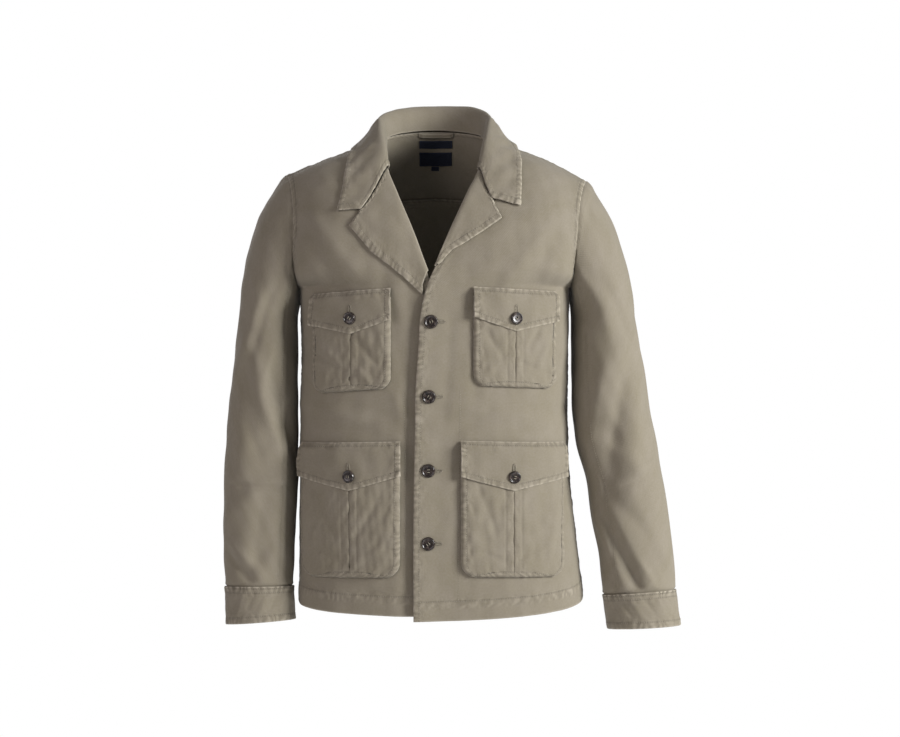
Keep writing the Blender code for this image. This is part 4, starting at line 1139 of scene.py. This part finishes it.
# Lapels: the front facings turned back along the roll line, their edges stitched 8 mm in.
# They lie on the fronts, so they are made from the fronts' own creased face, moved out.
LAPEL = {
    LEFT: table(
        "roll_z out z",
        (-181, 10, -175),
        (-153, 28, -158),
        (-125, 48, -146),
        (-97, 70, -132.5),
        (-68, 97.6, -113),
        (-41, 83, -86),
    ),
    RIGHT: table(
        "roll_z out z",
        (-190, 14.5, -222),
        (-170, 36, -203),
        (-143, 60, -182),
        (-108, 88, -161),
        (-72, 119, -124),
        (-39, 103, -103),
    ),
}
LAPEL_SECTION = table(
    "share off lift",
    (0.00, -1.6, 0.6),
    (0.00, 0.0, 2.4),
    (0.08, 2.0, 3.4),
    (0.36, 0.0, 2.8),
    (0.68, 0.0, 1.8),
    (1.00, 0.0, 1.0),
)


LAPEL_SEAM = ("last", EDGE_INSET, 0.45)
LAPEL_HEAD = ("head", EDGE_INSET, 0.45)


def lapel_grid(side):
    """From the roll line out to the lapel's edge: the edge is straight between its named points."""
    rows = LAPEL[side]
    steps = len(rows["z"])
    knots = np.arange(steps)
    fine = np.linspace(0, steps - 1, 86)
    roll_z = follow(dict(rows, n=knots), "n", "roll_z", fine)
    edge_out = np.interp(fine, knots, rows["out"])
    edge_z = np.interp(fine, knots, rows["z"])
    roll_out = follow(EDGE[side], "z", "out", roll_z)
    edge_across, edge_up = find_on_front(side, edge_out, edge_z)
    roll_across, roll_up = find_on_front(side, roll_out, roll_z)
    width = np.hypot(edge_out - roll_out, edge_z - roll_z)
    number = np.concatenate((np.linspace(0, 2, 10), np.linspace(2, 5, 40)[1:]))
    section = dict(LAPEL_SECTION, n=np.arange(len(LAPEL_SECTION["share"])))
    off = np.minimum(follow(section, "n", "off", number)[None, :], 0.3 * width[:, None]) / width[:, None]
    place = follow(section, "n", "share", number)[None, :] + off
    across = roll_across[:, None] + (edge_across - roll_across)[:, None] * place
    up = roll_up[:, None] + (edge_up - roll_up)[:, None] * place
    tight = np.clip(width / 40.0, 0.4, 1.0)[:, None]
    lift = LAID + (follow(section, "n", "lift", number)[None, :] - LAID) * tight
    plain = front_surface(side, across, up, lift)
    return plain + front_normal(side, across, up) * (0.35 * waves(plain, 26.0, 44) * place)[..., None]


def inset_lines(made, inset, **trims):
    """A line along each named border, all at one distance in, each shortened at its two ends."""
    return [inset_line(made, border, inset, trim) for border, trim in trims.items()]


for side, name in ((LEFT, "lapel_left"), (RIGHT, "lapel_right")):
    made = cloth(name + "_cloth", lapel_grid(side), COLLAR_CLOTH, (0, 0, -200), name, outward=True, pucker=0.45,
                 seams=(LAPEL_SEAM, LAPEL_HEAD))
    lines = inset_lines(made, EDGE_INSET, last=(9.0, 8.0), head=(8.0, 8.0))
    stitching(name + "_stitches", lines)


# Collar: stand, fold and fall in one, of two layers. The fall lies on the fronts and the yoke.
# Its edge is stitched 8 mm in, and its corners stand a little proud, as washed collars do.
COLLAR_FRONT = {
    LEFT: table(
        "q seam_z out z rise_out rise_y rise_z clear",
        (0.00, -39, 125, -94, -1, -3, 3, 0.3),
        (0.30, -24, 126, -74, 0, -5, 10, 0.3),
        (0.60, -6, 127, -46, 2, -4, 18, 0.4),
        (0.80, 6, 127, -22, 3, -1, 23, 1.8),
        (1.00, 17, 121, 0, 4, 4, 28, 4.0),
    ),
    RIGHT: table(
        "q seam_z out z rise_out rise_y rise_z clear",
        (0.00, -37, 137, -102, -1, -3, 3, 0.3),
        (0.30, -24, 132, -78, 0, -5, 10, 0.3),
        (0.60, -6, 128, -48, 2, -4, 16, 0.4),
        (0.80, 6, 125, -24, 4, -1, 22, 1.4),
        (1.00, 17, 118, 2, 6, 4, 27, 3.0),
    ),
}
COLLAR_BACK = {
    LEFT: table(
        "q seam across up rise_out rise_y rise_z clear",
        (0.00, 0.40, 0.560, 2.000, 4, 4, 28, 4.0),
        (0.25, 0.30, 0.430, 1.955, 2, 7, 34, 1.8),
        (0.50, 0.20, 0.290, 1.935, 1, 9, 38, 0.4),
        (0.75, 0.10, 0.145, 1.930, 0, 9, 37, 0.3),
        (1.00, 0.00, 0.000, 1.930, 0, 9, 36, 0.3),
    ),
    RIGHT: table(
        "q seam across up rise_out rise_y rise_z clear",
        (0.00, 0.40, 0.560, 2.000, 6, 4, 27, 3.0),
        (0.25, 0.30, 0.430, 1.955, 4, 7, 32, 1.4),
        (0.50, 0.20, 0.290, 1.935, 2, 9, 35, 0.4),
        (0.75, 0.10, 0.145, 1.930, 1, 9, 36, 0.3),
        (1.00, 0.00, 0.000, 1.930, 0, 9, 36, 0.3),
    ),
}
COARSE_SECTION = table(
    "share off rise lift",
    (0.00, -3.2, 0.00, 0.0),
    (0.00, -3.6, 0.45, 0.0),
    (0.00, -3.2, 0.88, 0.8),
    (0.00, 0.0, 1.06, 2.6),
    (0.06, 2.8, 0.97, 3.6),
    (0.28, 1.5, 0.62, 3.0),
    (0.52, 0.0, 0.33, 2.2),
    (0.78, 0.0, 0.10, 1.6),
    (1.00, 0.0, 0.00, 1.2),
)
section_number = np.concatenate((np.linspace(0, 4, 20), np.linspace(4, 8, 34)[1:]))
numbered_section = dict(COARSE_SECTION, n=np.arange(len(COARSE_SECTION["share"])))
COLLAR_SECTION = {key: follow(numbered_section, "n", key, section_number) for key in COARSE_SECTION}
COLLAR_NOTCH = {LEFT: (84, -84), RIGHT: (104, -101)}
NOTCH_SHARE = 0.52
NOTCH_FADE = 5.0
INSIDE_COLLAR = (0, 0, -100)


def collar_front(side, share):
    """Stations of the collar over a front, from the gorge (0) to the shoulder seam (1)."""
    rows = COLLAR_FRONT[side]
    seam_z, out, z = columns(rows, "q", "seam_z out z", share)
    seam_across, seam_up = find_on_front(side, follow(EDGE[side], "z", "out", seam_z), seam_z)
    edge_across, edge_up = find_on_front(side, out, z)
    notch_across, notch_up = find_on_front(side, *COLLAR_NOTCH[side])
    k = COLLAR_SECTION["share"][None, :]
    seam = front_point(side, seam_across, seam_up)
    edge = front_point(side, edge_across, edge_up)
    width = np.linalg.norm(edge - seam, axis=-1)[:, None]
    place = k + COLLAR_SECTION["off"][None, :] / width
    bend = np.minimum(k / NOTCH_SHARE, (1 - k) / (1 - NOTCH_SHARE)) * (1 - share[:, None]) ** NOTCH_FADE
    across = seam_across[:, None] + (edge_across - seam_across)[:, None] * place
    up = seam_up[:, None] + (edge_up - seam_up)[:, None] * place
    middle_across = seam_across[0] + (edge_across[0] - seam_across[0]) * NOTCH_SHARE
    middle_up = seam_up[0] + (edge_up[0] - seam_up[0]) * NOTCH_SHARE
    across = across + bend * (notch_across - middle_across)
    up = np.minimum(up + bend * (notch_up - middle_up), 2.0)
    points = front_surface(side, across, up, 0.0 * up)
    return collar_wall(side, rows, share, points, front_normal(side, across, up))


def collar_back(side, share):
    """Stations of the collar over the back, from the shoulder seam (0) to the centre back (1)."""
    rows = COLLAR_BACK[side]
    seam, edge_across, edge_up = columns(rows, "q", "seam across up", share[:, None])
    k = COLLAR_SECTION["share"][None, :]
    low = back_point(side * seam, 2.0 + 0 * seam)
    high = back_point(side * edge_across, edge_up)
    width = np.linalg.norm(high - low, axis=-1)
    place = k + np.maximum(COLLAR_SECTION["off"][None, :], 0) / width
    across = seam + (edge_across - seam) * place
    up = 2.0 + (edge_up - 2.0) * place
    inward = np.minimum(COLLAR_SECTION["off"][None, :], 0)
    points = back_surface(side * across, up, 0.0 * up)
    away = unit(low * np.array((1.0, 1.0, 0.0)))
    points = points + away * inward[..., None]
    return collar_wall(side, rows, share, points, back_normal(side * across, up))


def collar_wall(side, rows, share, points, normals):
    """The stand rises along a slanted line and the fall comes back down to the cloth below it."""
    out, y, z, clear = columns(rows, "q", "rise_out rise_y rise_z clear", share)
    rise = triple(side * out, y, z)[:, None, :]
    clear = clear[:, None] * step((COLLAR_SECTION["share"] - 0.06) / 0.22)
    lift = (COLLAR_SECTION["lift"][None, :] + clear)[..., None]
    return points + normals * lift + rise * COLLAR_SECTION["rise"][None, :, None]


front_share = np.linspace(0.0, 1.0, 66)
back_share = np.linspace(0.0, 1.0, 42)
stations = (
    collar_front(RIGHT, front_share),
    collar_back(RIGHT, back_share)[1:],
    collar_back(LEFT, back_share)[-2:0:-1],
    collar_front(LEFT, front_share)[::-1],
)
collar_grid = np.concatenate(stations)
collar_grid[:, 0] = collar_grid[:, 0] + np.array((0, 0, 2 * SEAM))
judged = int(np.argmax(COLLAR_SECTION["share"] > 0.1))
fall = step(COLLAR_SECTION["share"][None, :] * 3.0)
relief = (0.5 * waves(collar_grid, 30.0, 51) + 0.2 * waves(collar_grid, 13.0, 52)) * fall
collar_grid = creased(collar_grid, relief, INSIDE_COLLAR, judged=judged)
made = cloth("collar_cloth", collar_grid, COLLAR_CLOTH, INSIDE_COLLAR, "collar", outward=True, judged=judged,
             seams=(LAPEL_SEAM, ("foot", EDGE_INSET, 0.45), LAPEL_HEAD), pucker=0.45)
lines = inset_lines(made, EDGE_INSET, last=(8.0, 8.0))
for border in ("foot", "head"):
    line = inset_line(made, border, EDGE_INSET)
    lines.append(kept(line, slice(len(line[0]) // 2, -4)))
stitching("collar_stitches", lines)


# Pockets: four bellows bags with an inverted pleat down the middle and a gusset round sides and foot.
# Each is made over its front's creased face and has creases of its own from the wash.
POCKET_CLOTH = 1.5
FLAP_CLOTH = 2.0
POCKET_INSET = 9.0
FLAP_INSET = 7.0
POCKETS = {
    "chest_left": dict(side=LEFT, inner=59, outer=174, top=-212, depth=139, slope=5, corner=16,
                       flap_side=41, flap_point=59, button=41),
    "chest_right": dict(side=RIGHT, inner=62, outer=172, top=-214, depth=141, slope=7, corner=16,
                        flap_side=43, flap_point=60, button=38),
    "hip_left": dict(side=LEFT, inner=41, outer=187, top=-432, depth=192, slope=4, corner=20,
                     flap_side=50, flap_point=69, button=50),
    "hip_right": dict(side=RIGHT, inner=49, outer=189, top=-433, depth=192, slope=4, corner=20,
                      flap_side=48, flap_point=68, button=48),
}
BAG_DROP = 12.0
BAG_LIFT = 4.6
PLEAT_HALF = 11.0
FLAP_LIFT = BAG_LIFT + POCKET_CLOTH + LAID
FLAP_HINGE = 9.0
FLAP_WIDER = 1.5
CORNER_CURL = 1.6
GUSSET = 3.2
PLEAT_DEEP = 2.2
PLEAT_WIDE = 1.1
FOLD_DEEP = 0.7
FOLD_WIDE = 1.2
POCKET_CREASES = {
    "chest_left": table(
        "x z slant long wide high",
        (30, -60, 62, 34, 5, -1.5), (42, -80, 70, 30, 5, 1.3), (-34, -72, -58, 34, 5, -1.5),
        (-20, -105, 30, 26, 5, 1.1), (28, -112, -24, 28, 5, -1.1), (-44, -50, -72, 26, 5, 1.2),
    ),
    "chest_right": table(
        "x z slant long wide high",
        (-21, -86, 53, 28, 5, -1.8), (-20, -123, 49, 22, 5, 1.5), (34, -97, 32, 30, 5, -1.6),
        (27, -90, 51, 24, 5, 1.5), (-42, -66, 76, 26, 4, 1.2), (-46, -108, 84, 24, 4, -1.2),
    ),
    "hip_left": table(
        "x z slant long wide high",
        (40, -90, 78, 46, 6, -1.5), (56, -120, 82, 40, 6, 1.3), (-36, -100, -70, 50, 6, -1.5),
        (-54, -140, -80, 40, 6, 1.3), (30, -160, 30, 34, 6, 1.1), (-24, -166, -24, 30, 5, -1.1),
    ),
    "hip_right": table(
        "x z slant long wide high",
        (38, -96, 66, 46, 6, -1.6), (54, -130, 76, 44, 6, 1.4), (-34, -92, -60, 46, 6, -1.6),
        (-50, -132, -74, 44, 6, 1.4), (26, -164, 26, 34, 6, -1.2), (-30, -160, -34, 32, 6, 1.2),
    ),
}


def on_front(side, out, z, lift):
    """Points over a front's creased face, from the distance out from the centre line and the height."""
    across, up = find_on_front(side, out, z)
    return front_surface(side, across, up, np.asarray(lift, float))


def on_pocket(pocket, a, depth):
    """Height of a place on a pocket, from -1 to 1 across it and so far down. Its top slants to the side."""
    return pocket["top"] - depth - pocket["slope"] * (a + 1) / 2


for name, pocket in POCKETS.items():
    side = pocket["side"]
    half = (pocket["outer"] - pocket["inner"]) / 2
    middle = (pocket["outer"] + pocket["inner"]) / 2
    corner = pocket["corner"]
    foot = pocket["depth"]
    flat = np.union1d(places(2 * half, 5.0, 0.7, 1.7) - half, np.linspace(-1.8, 1.8, 9))[None, :]
    depth = (BAG_DROP + places(foot - BAG_DROP, 5.0, 0.7, 1.9))[:, None]
    below = np.clip((depth - (foot - corner)) / corner, 0, 1)
    narrow = corner * (1 - np.sqrt(np.clip(1 - below ** 2, 0, None)))
    squeeze = np.clip((np.abs(flat) - PLEAT_HALF) / (half - PLEAT_HALF), 0, 1)
    depth = depth + 0 * flat
    flat = flat - np.sign(flat) * squeeze * narrow
    past_side = np.clip(np.abs(flat) - (half - corner), 0, None)
    past_foot = np.clip(depth - (foot - corner), 0, None)
    rounded = corner - np.hypot(past_side, past_foot)
    straight = np.minimum(half - np.abs(flat), foot - depth)
    from_outline = np.where((past_side > 0) & (past_foot > 0), rounded, straight)
    wall_share = np.clip(from_outline / GUSSET, 0, 1)
    lift = LAID + (BAG_LIFT - LAID) * np.sqrt(1 - (1 - wall_share) ** 2)
    on_face = step(from_outline / 14.0)
    lift = lift - on_face * PLEAT_DEEP * np.exp(-(flat / PLEAT_WIDE) ** 2)
    lift = lift - on_face * FOLD_DEEP * np.exp(-((np.abs(flat) - PLEAT_HALF) / FOLD_WIDE) ** 2)
    below_flap = on_face * step((depth - pocket["flap_side"] + 4.0) / 14.0)
    lift = lift + below_flap * (1.0 + folds(POCKET_CREASES[name], flat, -depth))
    lift = lift + 0.6 * on_face * (1 - below_flap)
    grid = on_front(side, middle + flat, on_pocket(pocket, flat / half, depth), lift)
    grid = creased(grid, 0.4 * waves(grid, 17.0, 61) * below_flap, INSIDE_BODY)
    made = cloth("pocket_" + name + "_cloth", grid, POCKET_CLOTH, INSIDE_BODY, "pocket_" + name, outward=True,
                 seams=[(border, POCKET_INSET, 0.3) for border in ("first", "last", "head")],
                 # The pleat's centre fold is darkened as painted shade.
                 pressed=np.abs(flat) * 0.9 + 20.0 * (1 - on_face))
    lines = inset_lines(made, POCKET_INSET, first=(2.0, 9.0), last=(2.0, 9.0), head=(9.0, 9.0))
    stitching("pocket_" + name + "_stitches", lines)


# Flaps: pointed, of two layers, sewn on above the mouth of each pocket and stitched 7 mm in.
# Each steps out from the front and hangs over its bag, and its lower corners have curled a little in the wash.
for name, pocket in POCKETS.items():
    side = pocket["side"]
    half = (pocket["outer"] - pocket["inner"]) / 2 + FLAP_WIDER
    middle = (pocket["outer"] + pocket["inner"]) / 2
    a = np.sin(np.linspace(-math.pi / 2, math.pi / 2, 85))[None, :]
    point = pocket["flap_side"] + (pocket["flap_point"] - pocket["flap_side"]) * (1 - np.abs(a)) ** 0.95
    top_rows = np.linspace(0.0, FLAP_HINGE, 9)[:-1, None] + 0 * a
    share = places(1.0, 0.1, 0.014, 0.034)[:, None]
    depth = np.concatenate((top_rows, FLAP_HINGE + share * (point - FLAP_HINGE)))
    lift = LAID + (FLAP_LIFT - LAID) * step(depth / FLAP_HINGE)
    hanging = step((depth - FLAP_HINGE) / 20.0)
    grid = on_front(side, middle + half * a + 0 * depth, on_pocket(pocket, a, depth), lift)
    curl = CORNER_CURL * hanging * np.abs(a) ** 6 + 0.5 * waves(grid, 28.0, 71) * step(depth / FLAP_HINGE)
    grid = creased(grid, curl, INSIDE_BODY)
    seams = [(border, FLAP_INSET, 0.4) for border in ("first", "last", "head")] + [("foot", FLAP_INSET, 0.35)]
    made = cloth("flap_" + name + "_cloth", grid, FLAP_CLOTH, INSIDE_BODY, "flap_" + name, outward=True,
                 seams=seams, pucker=0.4)
    lines = inset_lines(made, FLAP_INSET, first=(2.0, 7.0), last=(2.0, 7.0), head=(7.0, 7.0), foot=(2.0, 2.0))
    stitching("flap_" + name + "_stitches", lines)


# Buttons: turned from horn-like resin, mottled brown and grey, rimmed, with four holes, sewn on with cotton.
# Four of 20 mm close the front and one of 18.4 mm closes each flap. None of them sits quite straight.
BUTTON_RADIUS = {"front": 10.0, "pocket": 9.2}
FRONT_BUTTONS = table(
    "out z",
    (-3, -261),
    (-6, -368),
    (-7, -474),
    (-7, -578),
)
HOLE_AT = 0.18
HOLE_RADIUS = 0.10

horn = bpy.data.materials.new("polished_horn_resin")
horn.use_nodes = True
horn_shader = horn.node_tree.nodes["Principled BSDF"]
horn_shader.inputs["Roughness"].default_value = 0.28
horn_shader.inputs["Coat Weight"].default_value = 0.35
horn_shader.inputs["Coat Roughness"].default_value = 0.12
horn_place = node(horn, "TexCoord", {}, {})
horn_cloud = node(horn, "TexNoise", {"Scale": 210.0, "Detail": 4.0, "Distortion": 1.4},
                  {"Vector": (horn_place, "Object")})
horn_ramp = node(horn, "ValToRGB", {}, {"Fac": (horn_cloud, "Fac")})
horn_ramp.color_ramp.elements[0].position = 0.38
horn_ramp.color_ramp.elements[0].color = linear("#14100f")
horn_ramp.color_ramp.elements[1].position = 0.66
horn_ramp.color_ramp.elements[1].color = linear("#4d433e")
horn_middle = horn_ramp.color_ramp.elements.new(0.54)
horn_middle.color = linear("#2b221d")
horn.node_tree.links.new(horn_ramp.outputs["Color"], horn_shader.inputs["Base Color"])


def button_height(radius, turn):
    """Height over the button's back: a dished face, a round rim, and four holes sunk almost through."""
    face = 0.17 + 0.05 * radius ** 2 + 0.12 * np.exp(-((radius - 0.84) / 0.10) ** 2)
    face = face - 0.16 * step((radius - 0.88) / 0.12)
    x = radius * np.cos(turn)
    y = radius * np.sin(turn)
    apart = np.hypot(np.abs(x) - HOLE_AT, np.abs(y) - HOLE_AT)
    return face - (face - 0.03) * step((HOLE_RADIUS - apart) / 0.04)


def sew_button(name, kind, side, out, z, lift, tilt):
    """One button over a front's face, and two bars of thread through its holes."""
    size = BUTTON_RADIUS[kind]
    across, up = find_on_front(side, np.array([float(out)]), np.array([float(z)]))
    normal = front_normal(side, across, up)[0]
    place = front_surface(side, across, up, np.array([lift]))[0]
    sideways = unit(np.cross((0.0, 0.0, 1.0), normal))
    normal = unit(normal + 0.10 * math.sin(tilt) * sideways + np.array((0.0, 0.0, 0.08 * math.cos(tilt))))
    sideways = unit(np.cross((math.sin(tilt), 0.0, math.cos(tilt)), normal))
    upright = np.cross(normal, sideways)
    radius = np.concatenate((np.linspace(0.0, 0.42, 20), np.linspace(0.42, 1.0, 18)[1:]))[:, None]
    turn = full_turn(64)
    top = button_height(radius, turn)
    radius = np.concatenate((0 * radius[:1] + 0.001, radius[1:], radius[::-1][:1], radius[:1] + 0.001))
    height = np.concatenate((top, 0 * top[:2]))
    disc = radius[..., None] * (np.cos(turn)[..., None] * sideways + np.sin(turn)[..., None] * upright)
    points = place + size * (disc + height[..., None] * normal)
    number, quads = grid_faces(*points.shape[:2], True)
    quads = quads[:, (0, 3, 2, 1)].tolist()
    caps = [number[0, :-1].tolist(), number[-1, :-1][::-1].tolist()]
    mesh = bpy.data.meshes.new(name + "_horn")
    mesh.from_pydata((points.reshape(-1, 3) * MM).tolist(), [], quads + caps)
    add_piece(name + "_horn", mesh, horn, name)
    bars = []
    for offset in (-HOLE_AT, HOLE_AT):
        swing = np.linspace(-1.0, 1.0, 9)[:, None]
        arch = 0.20 + 0.07 * (1 - swing ** 2)
        line = place + size * (swing * 0.20 * sideways + offset * upright + arch * normal)
        bars.append((line, np.repeat(normal[None, :], len(line), axis=0)))
    stitching(name + "_thread", bars, pitch=0.55, long=1.1, wide=1.15, thick=1.0)


for number, (out, z) in enumerate(zip(FRONT_BUTTONS["out"], FRONT_BUTTONS["z"]), start=1):
    sew_button("button_front_%d" % number, "front", LEFT, out, z, LAID, 0.4 + 0.9 * number)
for number, (name, pocket) in enumerate(POCKETS.items()):
    middle = (pocket["outer"] + pocket["inner"]) / 2
    z = on_pocket(pocket, 0.0, pocket["button"])
    lift = FLAP_LIFT + FLAP_CLOTH + LAID
    sew_button("button_" + name, "pocket", pocket["side"], middle, z, lift, 0.8 + 1.3 * number)


# Buttonholes: worked in cotton, 22 mm long; level on the front edge, upright on the flaps.
# The stitches lie side by side across the path of an oval that is fuller than an ellipse.
HOLE_LONG = 11.0
HOLE_WIDE = 1.7
HOLE_OUT = 9.5
HOLE_UP = 8.0
HOLE_LIFT = 0.15


def buttonhole(name, side, out, z, upright, lift):
    """One buttonhole: a flat oval of close stitches across its own path."""
    turn = np.linspace(0.0, 2 * math.pi, 60)
    long_way = HOLE_LONG * np.sign(np.cos(turn)) * np.abs(np.cos(turn)) ** 0.5
    wide_way = HOLE_WIDE * np.sin(turn)
    across_out, across_z = (wide_way, long_way) if upright else (long_way, wide_way)
    across, up = find_on_front(side, out + across_out, z + across_z)
    line = (front_surface(side, across, up, 0.0 * across + lift), front_normal(side, across, up))
    stitching(name, [line], pitch=0.85, long=2.4, wide=0.8, thick=0.5, crosswise=True)


for number, (out, z) in enumerate(zip(FRONT_BUTTONS["out"], FRONT_BUTTONS["z"]), start=1):
    buttonhole("buttonhole_front_%d" % number, LEFT, out + HOLE_OUT, z, False, HOLE_LIFT)
for name, pocket in POCKETS.items():
    middle = (pocket["outer"] + pocket["inner"]) / 2
    z = on_pocket(pocket, 0.0, pocket["button"]) + HOLE_UP
    lift = FLAP_LIFT + FLAP_CLOTH + HOLE_LIFT
    buttonhole("buttonhole_" + name, pocket["side"], middle, z, True, lift)


# Inside the neck: a hanger loop of the same drill, and three bare woven labels sewn flat to the yoke.
# The labels are of dark blue damask with nothing on them, and the loop stands off between its two ends.
LOOP_HALF = 27.5
LOOP_X = 2.5
LOOP_Z = (30.0, 36.0)
LOOP_STANDOFF = 2.4
LOOP_SLANT = 0.22
LOOP_CLOTH = 1.2
LABEL_CLOTH = 0.8
LABELS = {
    "label_upper": dict(x=(-24, 28), z=(14, 25)),
    "label_lower": dict(x=(-24, 27), z=(-12, 8)),
    "size_tab": dict(x=(-5, 7), z=(-19, -13)),
}


def inside_yoke(x, z, lift):
    """Points off the yoke's creased inner face, towards the neck opening."""
    across, up = find(back_point, x, z, x / HALF_WIDTH)
    return back_surface(across, up, -CLOTH - np.asarray(lift, float))


damask = washed_drill("woven_damask_label", "#1b2130", "#2c3344", "#141926", "#10141f")
x = np.linspace(-1.0, 1.0, 60)[None, :]
z = np.linspace(LOOP_Z[0], LOOP_Z[1], 7)[:, None]
lift = LAID + LOOP_STANDOFF * step((1 - np.abs(x)) / LOOP_SLANT) + 0 * z
loop_grid = inside_yoke(LOOP_X + LOOP_HALF * x, z, lift)
cloth("hanger_loop_cloth", loop_grid, LOOP_CLOTH, (0, 300, 0), "hanger_loop", outward=True, pucker=0.0)
for name, label in LABELS.items():
    x = np.linspace(*label["x"], 41)[None, :]
    z = np.linspace(*label["z"], 16)[:, None]
    label_grid = inside_yoke(x, z, LAID + 0 * x * z)
    cloth(name + "_cloth", label_grid, LABEL_CLOTH, (0, 300, 0), name, outward=True, pucker=0.0, finish=damask)
